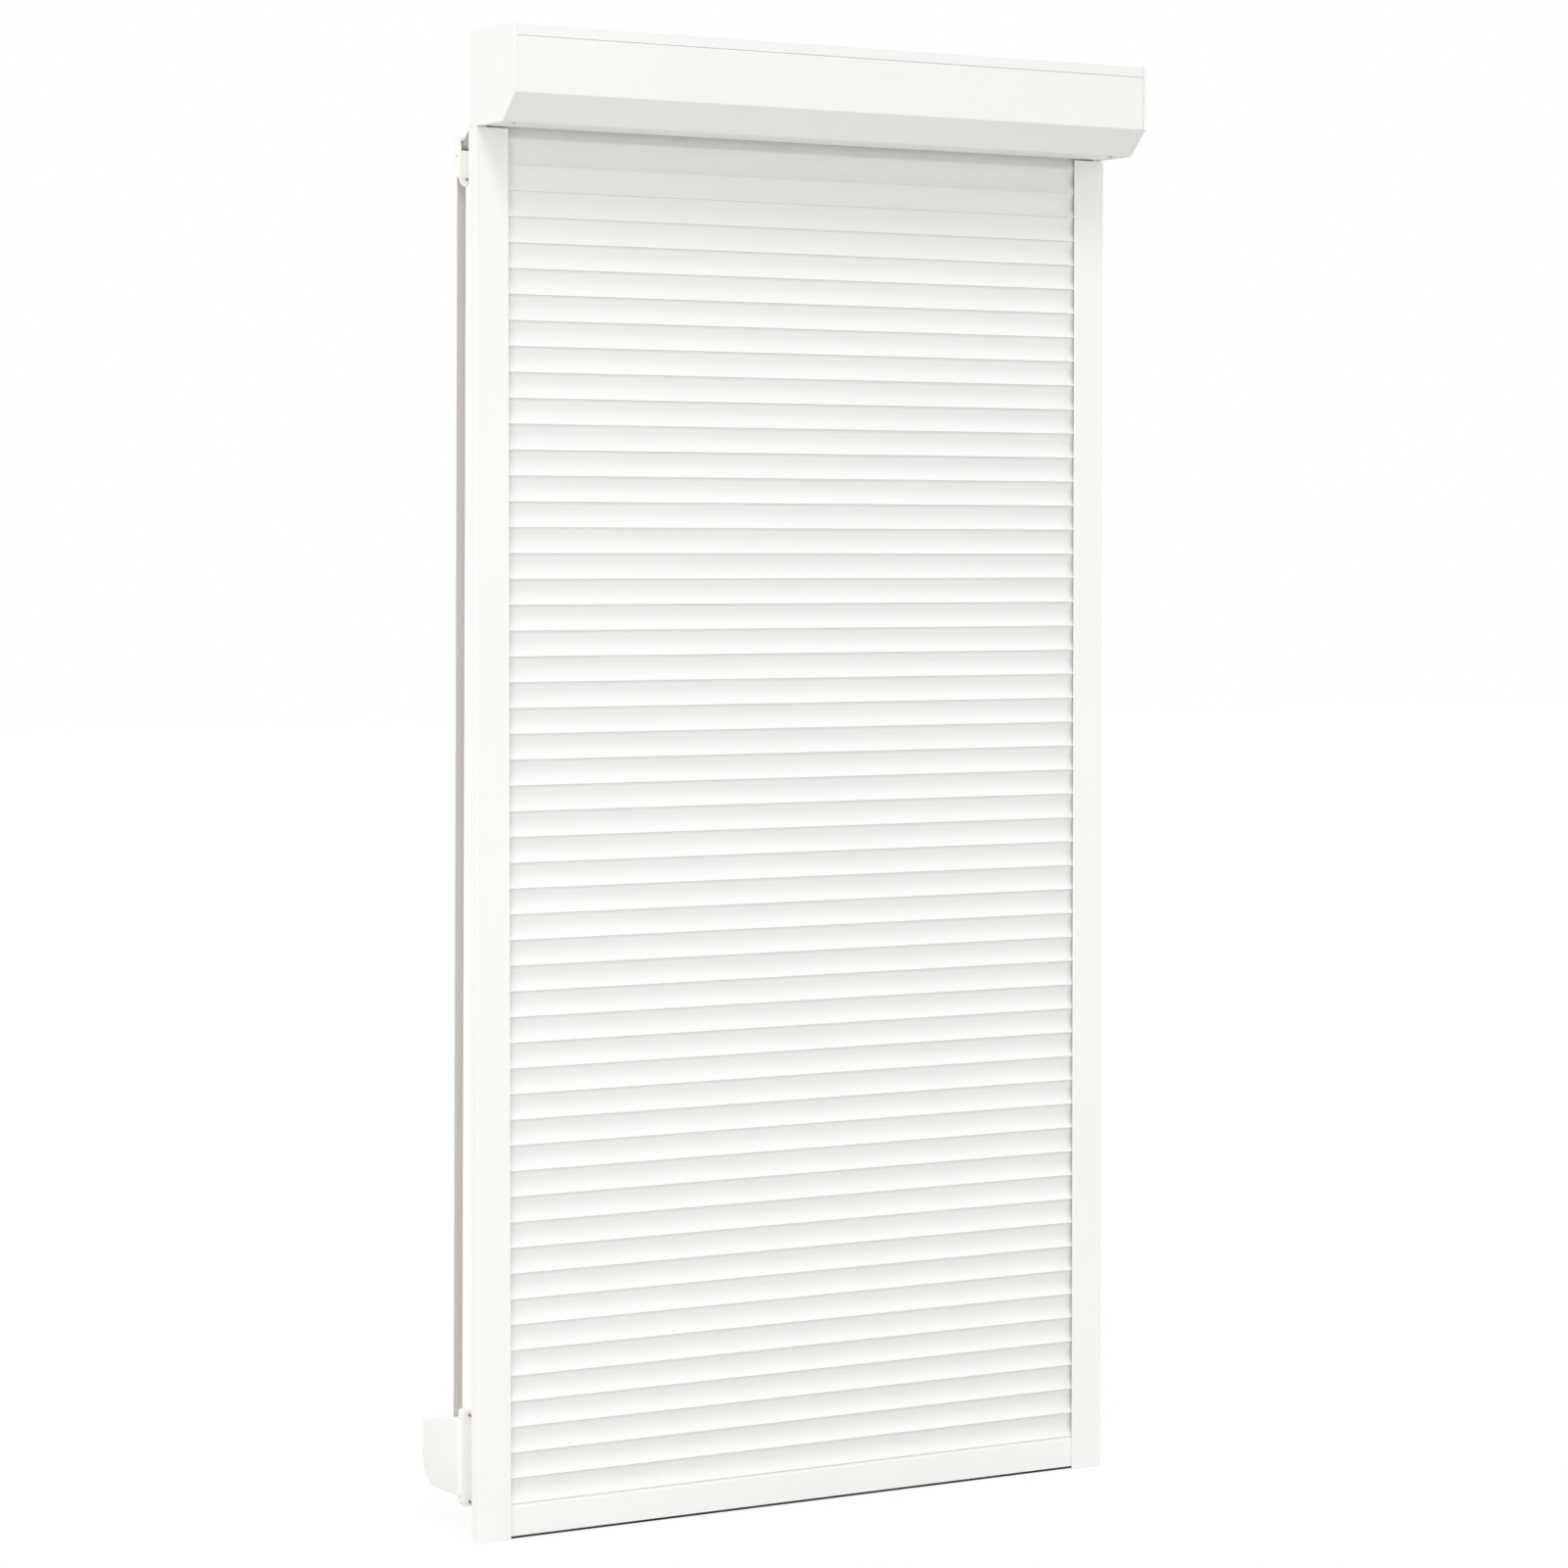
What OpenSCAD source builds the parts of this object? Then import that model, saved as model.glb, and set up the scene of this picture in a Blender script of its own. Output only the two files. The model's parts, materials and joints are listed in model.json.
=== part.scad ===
// Exterior roller shutter with an outside box, two guide rails, an interlocking slat curtain
// and a strap drive. X runs along the box, the wall is the plane Y = 0 with the room at +Y,
// Z is up, and the origin lies midway between the four rail fixing holes. Millimetres.

/* [Shutter] */
// Overall width over the two guide rails
shutter_w = 1090; // [800:5:1600]
// Height of the guide rails
rail_h = 2026; // [1500:1:2200]

/* [Box] */
// Height of the box above the rail tops
box_h = 137; // [134:1:180]
// Depth of the box from the wall
box_d = 137; // [132:1:180]
// Run of the 45 degree cut along the lower front edge
box_cut = 38; // [25:1:48]
// Thickness of the folded box sheets
sheet_t = 1.2; // [0.8:0.1:1.6]
// Height of the fixed strip above the front seam
seam_drop = 17.7; // [12:0.1:30]
// Thickness of the end cap plates
cap_t = 4.7; // [4:0.1:6]
// Step from the rails' outer faces in to the end caps
cap_inset = 2.5; // [1:0.1:3]
// Gap between the rail tops and the box
box_gap = 1.6; // [0.5:0.1:2]

/* [Guide rails] */
// Width of a rail's front face
rail_w = 53; // [48:1:66]
// Depth of a rail from the wall
rail_d = 22; // [21.5:0.5:26]
// Wall thickness of the rail extrusion
rail_wall = 1.5; // [1.2:0.1:1.8]
// Width of the closed outer chamber
chamber_w = 20; // [18:1:24]
// Upright distance between the fixing holes of one rail
fixing_pitch = 1700; // [900:10:1800]
// Diameter of the fixing holes
fixing_d = 4.2; // [3:0.1:5]

/* [Curtain] */
// Height that one slat covers
slat_pitch = 37; // [34:1:40]
// Reach of the slat's lower lip in front of the curtain line
slat_lip = 5.2; // [4:0.1:5.6]
// Depth of the slat behind the curtain line
slat_back = 4; // [3.6:0.1:4.4]
// Wall thickness of the slat skin
slat_wall = 0.5; // [0.3:0.1:0.6]
// Height of the bottom bar
bar_h = 46.9; // [40:0.1:60]
// Height of the rubber strip that shows under the bar
seal_h = 3.5; // [2:0.1:6]
// Gap between the closed seal and the sill
sill_gap = 1.3; // [0.5:0.1:4]

/* [Winding shaft] */
// Width of the octagonal tube across its flats
tube_af = 40; // [36:1:50]
// Wall thickness of the tube
tube_wall = 0.8; // [0.6:0.1:1.2]
// Diameter of the strap pulley's flanges
pulley_d = 118; // [110:1:120]
// Diameter of the core that the strap winds on
pulley_core_d = 78; // [70:1:82]
// Outer diameter of the ball bearings
bearing_d = 28; // [24:1:30]
// Bore of the ball bearings
bearing_bore = 12; // [8:1:14]
// Width of the ball bearings
bearing_w = 8; // [7:1:9]

/* [Strap] */
// Width of the strap
strap_w = 14; // [13:1:15]
// Thickness of the strap
strap_t = 1.2; // [0.9:0.1:1.3]
// Distance of the strap's middle from the rail's outer face
strap_in = 18; // [17.5:0.1:19]
// Distance of the room side fittings behind the wall plane
fitting_y = 40; // [30:1:60]
// Drop from the rail top to the guide roller
roller_drop = 36; // [33:1:40]
// Diameter of the guide roller
roller_d = 12; // [9:0.5:13]

/* [Strap winder] */
// Height of the base plate's middle above the sill
winder_up = 112; // [95:1:400]
// Height of the base plate
winder_base_h = 140; // [138:1:160]
// Distance between the two fixing screws
winder_screw_pitch = 126; // [124:1:127]
// Width of the winder housing
winder_w = 24; // [24:1:28]
// Height of the housing at its pivot
housing_h = 112; // [108:1:118]
// Depth of the housing from its rear to its front
housing_d = 121; // [114:1:130]
// Wall thickness of the housing
winder_wall = 1.8; // [1.4:0.1:2]
// Diameter of the reel's flanges
reel_d = 80; // [74:1:84]
// Diameter of the reel's core
reel_core_d = 42; // [40:1:44]

/* [Hidden] */
$fn = 64;
// Named clearances
seat_gap = 0.15;
slide_gap = 0.3;
turn_gap = 0.05;
loose_gap = 0.5;

// Levels and planes that the pieces share
rail_x = shutter_w / 2;
rail_top = rail_h / 2;
sill = -rail_h / 2;
cap_x = rail_x - cap_inset;
sheet_x = cap_x - cap_t;
box_low = rail_top + box_gap;
box_top = rail_top + box_h;
sheet_step = 0.5;
sheet_in = sheet_step + sheet_t + seat_gap;
mitre = sqrt(2) - 1;
fold_r = 1.2;
seam_gap = 0.9;
cap_gap = 0.4;
cap_rim_t = 2;
cap_rim_w = 10;
cover_screw_in = 27;
cover_screw_back = 16;
cover_screw_d = 3.5;
cover_lip_h = 8;
seam = box_top - seam_drop;
hook_h = 10;

// Rail section, measured from the outer face
rail_edge_r = 1;
boss_w = 10;
boss_t = 1.8;
liner_t = 0.8;
liner_w = 14;
rib_w = 1;
rib_h = 2;
liner_x0 = rail_w - rib_w - slide_gap - liner_w;
liner_x1 = rail_w - rib_w - slide_gap;
foot_plug_h = 14;
inlet_deep = 20;
inlet_up = 16;

// Curtain line and slat section, with the front at negative u
curtain_y = -rail_d + rail_wall + liner_t + loose_gap + slat_lip;
slat_gap = 0.4;
slat_edge = 0.4;
slat_hollow_v = 0.5 * slat_pitch;
slat_lean = 12;
slat_face_r = (pow(slat_lip + slat_edge, 2) + pow(slat_hollow_v, 2)) / (2 * (slat_lip + slat_edge));
slat_back_r = 4 * slat_pitch;
tongue_t = 1.4;
tongue_h = 4.5;
tongue_u = slat_back - 3.6;
bulb_r = 1.2;
slot_w = 2.2;
hook_r = 1.8;
hook_v = tongue_h + slat_gap / 2;
slat_end_gap = 10;
slat_x = rail_x - chamber_w - slat_end_gap;
clip_t = 1.2;
clip_edge = 1;
clip_low = 9;
clip_drop = 3;
bar_low = sill + sill_gap + seal_h;
bar_top = bar_low + bar_h;
bar_wall = 1.2;
bar_front = slat_lip - 0.3;
bar_step = 0.8;
bar_step_v = 4;
seal_neck = 3;
seal_head = 5.2;
seal_groove = 5.5;
plug_len = 25;
plug_flange = 1.5;
top_slat_reach = 30;
slat_count = floor((rail_h + top_slat_reach - (bar_top - sill)) / slat_pitch);
bank_count = 9;
bank_size = ceil(slat_count / bank_count);

// Winding shaft
axis_back = 66;
axis_up = 72;
axis_y = -axis_back;
axis_z = rail_top + axis_up;
strap_x = -rail_x + strap_in;
flange_t = 1.2;
pulley_w = strap_w + 2 * loose_gap + 2 * flange_t;
pulley_x0 = strap_x - pulley_w / 2;
pulley_x1 = strap_x + pulley_w / 2;
tube_in_af = tube_af - 2 * tube_wall;
plug_af = tube_in_af - 2 * seat_gap;
plug_reach = 40;
tube_x0 = pulley_x1 + loose_gap;
tube_x1 = -tube_x0;
stub_len = 12;
lighten_d = 12;
lighten_r = 28.5;
hanger_w = 40;
hanger_t = 0.8;
hanger_span = 350;
hanger_foot_h = 9;

// Strap windings
coil_pitch = strap_t + 0.5;
coil_turns = 7;
coil_r0 = pulley_core_d / 2 + slide_gap;
coil_r1 = coil_r0 + coil_pitch * coil_turns + strap_t;
reel_turns = 3;
reel_r0 = reel_core_d / 2 + slide_gap;
reel_r1 = reel_r0 + coil_pitch * reel_turns + strap_t;
coil_steps = 36;

// Strap outlet and guide
lip_r = 5;
lip_y = -sheet_step;
lip_z = rail_top + 10;
outlet_wall = 1.2;
outlet_half = strap_w / 2 + loose_gap + outlet_wall;
outlet_flange = 1.6;
outlet_low = lip_z - lip_r - 2;
outlet_high = outlet_low + 22;
roller_z = rail_top - roller_drop;
roller_rim = 0.2;
guide_w = 22;
guide_wall = 2;
guide_plate_t = 2.5;
guide_high = rail_top - 9.7;
guide_low = guide_high - 71;
guide_opening_h = 14;
guide_bridge = 5;
guide_deep = 21;
roller_y = fitting_y + guide_plate_t + loose_gap + roller_rim + roller_d / 2;
guide_pin_d = 4;
guide_screw_up = 11;
screw_d = 4;
screw_head_d = 6.5;
screw_len = 25;
screw_point = 5;

// Winder
winder_z = sill + winder_up;
winder_base_w = 22;
winder_base_t = 3;
screw_neck = winder_base_t - 0.2;
head_t = 2.4;
pivot_y = fitting_y + winder_base_t + head_t + 2 * loose_gap + winder_w / 2;
pivot_d = 5;
pivot_in = 9;
ear_r = 8;
ear_round = 5.5;
ear_gap = 0.4;
ear_t = (winder_base_h - housing_h) / 2 - ear_gap;
screw_room = screw_head_d / 2 + 2 * loose_gap;
reel_reach = 48;
reel_y = pivot_y + reel_reach;
reel_z = winder_z;
shell_low = winder_z - housing_h / 2;
shell_high = winder_z + housing_h / 2;
shell_rear = pivot_y - winder_w / 2;
shell_front = shell_rear + housing_d;
shell_slope = 17;
shell_flat = 18;
shell_low_r = 40;
shell_high_r = 9;
slot_ahead = 9.5;
slot_deep = 6;
reel_axle_d = 8;
reel_flange_t = 1.2;
reel_w = strap_w + 2 * loose_gap + 2 * reel_flange_t;
axle_boss_r = 7;
axle_boss_h = (winder_w - reel_w) / 2 - winder_wall - slide_gap;
spring_turns = 5;
spring_t = 0.5;
spring_pitch = 2.1;
spring_r0 = 7;
hub_wall = 2.4;
clamp_y = pivot_y + 9;
clamp_z = shell_high - 16;
clamp_pin_d = 3;
clamp_w = strap_w - 2;

// Strap path: centre of each round that it passes, radius to its middle, side of travel
strap_rounds = [
    [[axis_y, axis_z], coil_r1 + slide_gap + strap_t / 2, 1],
    [[lip_y, lip_z], lip_r + slide_gap + strap_t / 2, -1],
    [[roller_y, roller_z], roller_d / 2 + slide_gap + strap_t / 2, -1],
    [[reel_y, reel_z], reel_r1 + slide_gap + strap_t / 2, 1]
];
strap_arc_steps = 8;

// Colours
white = [0.95, 0.95, 0.94];
soft_white = [0.92, 0.92, 0.9];
black = [0.08, 0.08, 0.08];
brass = [0.72, 0.58, 0.32];
steel = [0.7, 0.71, 0.72];
webbing = [0.74, 0.71, 0.67];

// Plane geometry
function unit(v) = v / norm(v);
function flip(list) = [for (i = [len(list) - 1:-1:0]) list[i]];
function polar(r, a) = [r * cos(a), r * sin(a)];
function turn_of(a) = a > 180 ? a - 360 : a < -180 ? a + 360 : a;

// Arc that rounds the corner p1 between p0 and p2
function corner(p0, p1, p2, r, steps = 4) =
    r <= 0 ? [p1] :
    let (
        u = unit(p0 - p1),
        v = unit(p2 - p1),
        half = acos(u * v) / 2,
        c = p1 + unit(u + v) * r / sin(half),
        from = p1 + u * r / tan(half) - c,
        to = p1 + v * r / tan(half) - c,
        a0 = atan2(from[1], from[0]),
        sweep = turn_of(atan2(to[1], to[0]) - a0)
    )
    [for (i = [0:steps]) c + polar(r, a0 + sweep * i / steps)];

// Closed outline with each corner rounded by its own radius
function rounded(pts, radii) =
    let (n = len(pts))
    [for (i = [0:n - 1]) each corner(pts[(i + n - 1) % n], pts[i], pts[(i + 1) % n], radii[i])];

// Points of an open path moved sideways to the left by t, with mitred corners
function left_normal(p, q) = let (d = unit(q - p)) [-d[1], d[0]];
function beside(pts, t) =
    let (last = len(pts) - 1)
    [for (i = [0:last])
        let (
            a = left_normal(pts[max(i - 1, 0)], pts[max(i, 1)]),
            b = left_normal(pts[min(i, last - 1)], pts[min(i + 1, last)])
        )
        pts[i] + (a + b) * t / (1 + a * b)];

// Folded sheet whose skin follows pts, with the thickness on the left of the path
function folded(pts, t, radii) =
    rounded(concat(pts, flip(beside(pts, t))), concat(radii[0], flip(radii[1])));

// Upright section of the box, moved in from its outside by d
function box_outline(d) = [
    [-d, box_low + d],
    [-d, box_top - d],
    [-box_d + d, box_top - d],
    [-box_d + d, box_low + box_cut + d * mitre],
    [-box_d + box_cut + d * mitre, box_low + d]
];

// Strap path as a list of points with the heading of travel
function heading(i) =
    let (
        a = strap_rounds[i],
        b = strap_rounds[i + 1],
        d = b[0] - a[0],
        q = b[2] * b[1] - a[2] * a[1]
    )
    atan2(d[1], d[0]) - asin(q / norm(d));
function on_round(round, a) = round[0] + round[2] * round[1] * [sin(a), -cos(a)];
function strap_arc(i) =
    let (a0 = heading(i - 1), a1 = heading(i))
    [for (k = [0:strap_arc_steps]) a0 + (a1 - a0) * k / strap_arc_steps];
last_round = len(strap_rounds) - 1;
strap_points = concat(
    [[on_round(strap_rounds[0], heading(0)), heading(0)]],
    [for (i = [1:last_round - 1]) each [for (a = strap_arc(i)) [on_round(strap_rounds[i], a), a]]],
    [[on_round(strap_rounds[last_round], heading(last_round - 1)), heading(last_round - 1)]]
);
strap_entry_y = on_round(strap_rounds[last_round], heading(last_round - 1))[0];
function strap_side(t) = [for (p = strap_points) p[0] + t * [-sin(p[1]), cos(p[1])]];

// Outline of a strip wound into a flat spiral, turning by dir from the angle start
function winding(r0, pitch, turns, t, start, dir) =
    let (n = turns * coil_steps)
    concat(
        [for (i = [0:n]) polar(r0 + pitch * i / coil_steps, start + dir * 360 * i / coil_steps)],
        [for (i = [n:-1:0]) polar(r0 + t + pitch * i / coil_steps, start + dir * 360 * i / coil_steps)]
    );

// Least gap between neighbouring turns, measured on the outline's points
function winding_gap(outline, turns) =
    let (n = turns * coil_steps, all = len(outline))
    min([for (i = [coil_steps:n]) norm(outline[i] - outline[all - 1 - (i - coil_steps)])]);

// Solids along the axes
module along_x(x0, x1) {
    translate([x0, 0, 0])
        rotate([90, 0, 90])
            linear_extrude(x1 - x0)
                children();
}

module along_z(z0, z1) {
    translate([0, 0, z0])
        linear_extrude(z1 - z0)
            children();
}

module rod_x(d, x0, x1, y, z) {
    translate([x0, y, z])
        rotate([0, 90, 0])
            cylinder(d = d, h = x1 - x0);
}

module block(p0, p1) {
    translate(p0)
        cube(p1 - p0);
}

module pane(p0, p1) {
    translate(p0)
        square(p1 - p0);
}

module ring2d(d_out, d_in) {
    difference() {
        circle(d = d_out);
        circle(d = d_in);
    }
}

module octagon(af) {
    rotate(22.5)
        circle(d = af / cos(22.5), $fn = 8);
}

module on_axis() {
    translate([axis_y, axis_z])
        children();
}

// Box
module box_top_shell() {
    hook_y = -box_d + sheet_step + sheet_t + 0.4;
    skin = [
        [hook_y, seam - hook_h],
        [hook_y, seam],
        [-box_d + sheet_step, seam],
        [-box_d + sheet_step, box_top - sheet_step],
        [-sheet_step, box_top - sheet_step],
        [-sheet_step, box_low + sheet_step]
    ];
    radii = [[0, 0, 0, fold_r + sheet_t, fold_r + sheet_t, 0], [0, 0, 0, fold_r, fold_r, 0]];
    color(white)
        difference() {
            along_x(-sheet_x + cap_gap, sheet_x - cap_gap)
                polygon(folded(skin, -sheet_t, radii));
            block(
                [strap_x - outlet_half, -sheet_in, outlet_low],
                [strap_x + outlet_half, slide_gap, outlet_high]
            );
        }
}

module box_front_cover() {
    lip_edge = -rail_d + sheet_step;
    skin = [
        [-box_d + sheet_step, seam - seam_gap],
        [-box_d + sheet_step, box_low + box_cut + sheet_step * mitre],
        [-box_d + box_cut + sheet_step * mitre, box_low + sheet_step],
        [lip_edge, box_low + sheet_step],
        [lip_edge, box_low + sheet_step + cover_lip_h]
    ];
    radii = [[0, fold_r + sheet_t, fold_r + sheet_t, fold_r + sheet_t, 0], [0, fold_r, fold_r, fold_r, 0]];
    color(white)
        difference() {
            along_x(-sheet_x + cap_gap, sheet_x - cap_gap)
                polygon(folded(skin, sheet_t, radii));
            at_cover_screws()
                cylinder(d = cover_screw_d + 0.5, h = 4 * sheet_t, center = true);
        }
}

module at_cover_screws() {
    for (side = [-1, 1])
        translate([
            side * (cap_x - cover_screw_in),
            -box_d + box_cut + cover_screw_back,
            box_low + sheet_step
        ])
            children();
}

module cover_screws() {
    color(steel)
        at_cover_screws()
            rotate_extrude()
                polygon([[0, -1.9], [2.2, -1.9], [3.4, -0.9], [3.4, -0.05], [cover_screw_d / 2, -0.05],
                    [cover_screw_d / 2, 9], [0, 9]]);
}

// End cap at the left, mirrored for the right
module end_cap(outlet) {
    inner = -sheet_x;
    rim_r = fold_r + slide_gap;
    lug_y = -box_d + box_cut + cover_screw_back;
    lug_low = box_low + sheet_in;
    color(white)
        difference() {
            union() {
                along_x(-cap_x, inner)
                    polygon(rounded(box_outline(0), [0.8, 0.8, 0.8, 0.8, 0.8]));
                along_x(inner, inner + cap_rim_w)
                    difference() {
                        polygon(rounded(box_outline(sheet_in), [rim_r, rim_r, rim_r, rim_r, rim_r]));
                        polygon(box_outline(sheet_in + cap_rim_t));
                        pane([-box_d, seam - hook_h - loose_gap], [-box_d + 2 * sheet_in + cap_rim_t, seam + 2]);
                        pane(
                            [-rail_d - sheet_t - 2, box_low],
                            [-sheet_in - cap_rim_t, lug_low + cap_rim_t + 1]
                        );
                    }
                block(
                    [inner, lug_y - 6, lug_low],
                    [-cap_x + cover_screw_in + 6, lug_y + 6, lug_low + 9]
                );
                block(
                    [-cap_x, -rail_d + rail_wall + slide_gap, rail_top - 35],
                    [-rail_x + chamber_w - rail_wall - slide_gap, -rail_wall - boss_t - slide_gap, lug_low]
                );
                rod_x(bearing_bore + 8, inner, inner + 1.2, axis_y, axis_z);
            }
            rod_x(bearing_bore + 0.04, inner - cap_t + 1.5, inner + 5, axis_y, axis_z);
            translate([-cap_x + cover_screw_in, lug_y, lug_low - 1])
                cylinder(d = cover_screw_d + 0.1, h = 12);
            if (outlet)
                block(
                    [inner, -sheet_in - 3 - slide_gap, outlet_low - 1.2],
                    [inner + cap_rim_w + 1, slide_gap, outlet_high + outlet_flange + slide_gap]
                );
        }
}

module end_cap_left() {
    end_cap(true);
}

module end_cap_right() {
    mirror([1, 0, 0])
        end_cap(false);
}

// Bush in the back wall, with a round bar as the lip that the strap bends over
module strap_outlet() {
    half = outlet_half - seat_gap;
    slot_half = strap_w / 2 + loose_gap;
    face = -sheet_step + seat_gap;
    color(soft_white) {
        difference() {
            union() {
                block(
                    [strap_x - half, -sheet_in - 3, outlet_low + seat_gap],
                    [strap_x + half, face + 1, outlet_high - seat_gap]
                );
                block(
                    [strap_x - outlet_half - outlet_flange, face, outlet_low - 1],
                    [strap_x + outlet_half + outlet_flange, face + 2, outlet_high + outlet_flange]
                );
            }
            block(
                [strap_x - slot_half, -20, lip_z],
                [strap_x + slot_half, 20, outlet_high - outlet_wall]
            );
        }
        rod_x(2 * lip_r, strap_x - slot_half - 0.3, strap_x + slot_half + 0.3, lip_y, lip_z);
    }
}

// Guide rails
module rail_section() {
    difference() {
        polygon(rounded(
            [[0, -rail_d], [rail_w, -rail_d], [rail_w, 0], [0, 0]],
            [rail_edge_r, rail_edge_r, rail_edge_r, rail_edge_r]
        ));
        difference() {
            pane([rail_wall, -rail_d + rail_wall], [chamber_w - rail_wall, -rail_wall]);
            pane(
                [(chamber_w - boss_w) / 2, -rail_wall - boss_t],
                [(chamber_w + boss_w) / 2, 0]
            );
        }
        difference() {
            pane([chamber_w, -rail_d + rail_wall], [rail_w + 1, -rail_wall]);
            for (x = [rail_w - rib_w, liner_x0 - slide_gap - rib_w]) {
                pane([x, -rail_wall - rib_h], [x + rib_w, 0]);
                pane([x, -rail_d], [x + rib_w, -rail_d + rail_wall + liner_t]);
            }
        }
    }
}

module guide_rail() {
    color(white)
        difference() {
            translate([-rail_x, 0, 0])
                along_z(sill, rail_top)
                    rail_section();
            for (side = [-1, 1])
                translate([-rail_x + chamber_w / 2, 1, side * fixing_pitch / 2])
                    rotate([90, 0, 0])
                        cylinder(d = fixing_d, h = rail_wall + boss_t + 2);
        }
}

module guide_rail_left() {
    guide_rail();
}

module guide_rail_right() {
    mirror([1, 0, 0])
        guide_rail();
}

// Thin strip behind the front lip that the slats' lower lips run on
module front_liner() {
    color(soft_white)
        translate([-rail_x, 0, 0])
            along_z(sill + 1, rail_top - 1)
                pane(
                    [liner_x0, -rail_d + rail_wall + 0.02],
                    [liner_x1, -rail_d + rail_wall + liner_t]
                );
}

module front_liner_left() {
    front_liner();
}

module front_liner_right() {
    mirror([1, 0, 0])
        front_liner();
}

// Hollow strip behind the slats
module rear_glide() {
    face = curtain_y + slat_back + 2 * slide_gap;
    wall = 1;
    color(soft_white)
        translate([-rail_x, 0, 0])
            along_z(sill + 1, rail_top - inlet_deep - slide_gap)
                difference() {
                    polygon(rounded(
                        [[liner_x0, face], [liner_x1, face], [liner_x1, -rail_wall - 0.02],
                            [liner_x0, -rail_wall - 0.02]],
                        [0.8, 0.8, 0, 0]
                    ));
                    pane([liner_x0 + wall, face + wall], [liner_x1 - wall, -rail_wall - wall]);
                }
}

module rear_glide_left() {
    rear_glide();
}

module rear_glide_right() {
    mirror([1, 0, 0])
        rear_glide();
}

// Flared piece at the rail's mouth that leads the curtain in
module inlet_guide() {
    face = curtain_y + slat_back + 2 * slide_gap;
    back = -rail_wall - rib_h - slide_gap;
    color(soft_white)
        along_x(-rail_x + liner_x0, -rail_x + liner_x1)
            polygon(rounded(
                [
                    [face, rail_top - inlet_deep],
                    [face, rail_top],
                    [back - 1.5, rail_top + inlet_up],
                    [back, rail_top + inlet_up],
                    [back, rail_top + 2],
                    [-rail_wall - 0.02, rail_top - 2],
                    [-rail_wall - 0.02, rail_top - inlet_deep]
                ],
                [0, 8, 0.6, 0.6, 0, 0, 0]
            ));
}

module inlet_guide_left() {
    inlet_guide();
}

module inlet_guide_right() {
    mirror([1, 0, 0])
        inlet_guide();
}

module rail_foot_plugs() {
    wall = 1.5;
    x0 = -rail_x + rail_wall + seat_gap;
    x1 = -rail_x + chamber_w - rail_wall - seat_gap;
    y0 = -rail_d + rail_wall + seat_gap;
    y1 = -rail_wall - boss_t - seat_gap;
    color(soft_white)
        for (side = [0, 1])
            mirror([side, 0, 0])
                difference() {
                    block([x0, y0, sill], [x1, y1, sill + foot_plug_h]);
                    block([x0 + wall, y0 + wall, sill + 2], [x1 - wall, y1 - wall, sill + foot_plug_h + 1]);
                }
}

// Winding shaft
module winding_tube() {
    slot_h = 3;
    color(steel)
        difference() {
            along_x(tube_x0, tube_x1)
                on_axis()
                    difference() {
                        octagon(tube_af);
                        octagon(tube_in_af);
                    }
            for (i = [-1:1])
                block(
                    [i * hanger_span - hanger_w / 2 - 1, axis_y + tube_in_af / 2 - 1, axis_z + 3],
                    [i * hanger_span + hanger_w / 2 + 1, axis_y + tube_af, axis_z + 3 + slot_h]
                );
        }
}

// Shared end of the plugs that hold a bearing
module bearing_seat(x0, x1) {
    rod_x(bearing_d + 0.04, x0 - 1, x0 + bearing_w, axis_y, axis_z);
    rod_x(bearing_bore + 4, x0, x1, axis_y, axis_z);
}

module tube_plug() {
    x1 = sheet_x - 2;
    x0 = tube_x1;
    color(black)
        mirror([1, 0, 0])
            difference() {
                union() {
                    rod_x(tube_af + 8, -x1, -x0 - loose_gap, axis_y, axis_z);
                    along_x(-x0 - loose_gap, -x0 + plug_reach)
                        on_axis()
                            octagon(plug_af);
                }
                bearing_seat(-x1, -x1 + stub_len + 4);
                rod_x(tube_af * 0.5, -x1 + stub_len + 6, -x0 + plug_reach + 1, axis_y, axis_z);
            }
}

module strap_pulley() {
    color(black)
        difference() {
            union() {
                rod_x(pulley_core_d, pulley_x0, pulley_x1, axis_y, axis_z);
                rod_x(pulley_d, pulley_x0, pulley_x0 + flange_t, axis_y, axis_z);
                rod_x(pulley_d, pulley_x1 - flange_t, pulley_x1, axis_y, axis_z);
                along_x(pulley_x1, tube_x0 + plug_reach)
                    on_axis()
                        octagon(plug_af);
            }
            bearing_seat(pulley_x0, pulley_x0 + stub_len + 4);
            rod_x(tube_af * 0.5, pulley_x0 + stub_len + 6, tube_x0 + plug_reach + 1, axis_y, axis_z);
            for (a = [30:60:330])
                rod_x(
                    lighten_d,
                    pulley_x0 - 1,
                    pulley_x1 + 1,
                    axis_y + lighten_r * cos(a),
                    axis_z + lighten_r * sin(a)
                );
        }
}

module pulley_coil() {
    outline = winding(coil_r0, coil_pitch, coil_turns, strap_t, heading(0) - 90, 1);
    echo(pulley_coil_least_gap = winding_gap(outline, coil_turns));
    color(webbing)
        along_x(strap_x - strap_w / 2, strap_x + strap_w / 2)
            on_axis()
                polygon(outline);
}

// Ball bearing with its two races
module bearing(x0) {
    groove = 3;
    color(steel)
        translate([x0, axis_y, axis_z])
            rotate([0, 90, 0])
                difference() {
                    linear_extrude(bearing_w)
                        ring2d(bearing_d, bearing_bore + 2 * turn_gap);
                    for (z = [-1, bearing_w - 1])
                        translate([0, 0, z])
                            linear_extrude(2)
                                ring2d(
                                    (bearing_d + bearing_bore) / 2 + groove,
                                    (bearing_d + bearing_bore) / 2 - groove
                                );
                }
}

module bearing_left() {
    bearing(pulley_x0);
}

module bearing_right() {
    bearing(sheet_x - 2 - bearing_w);
}

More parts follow.
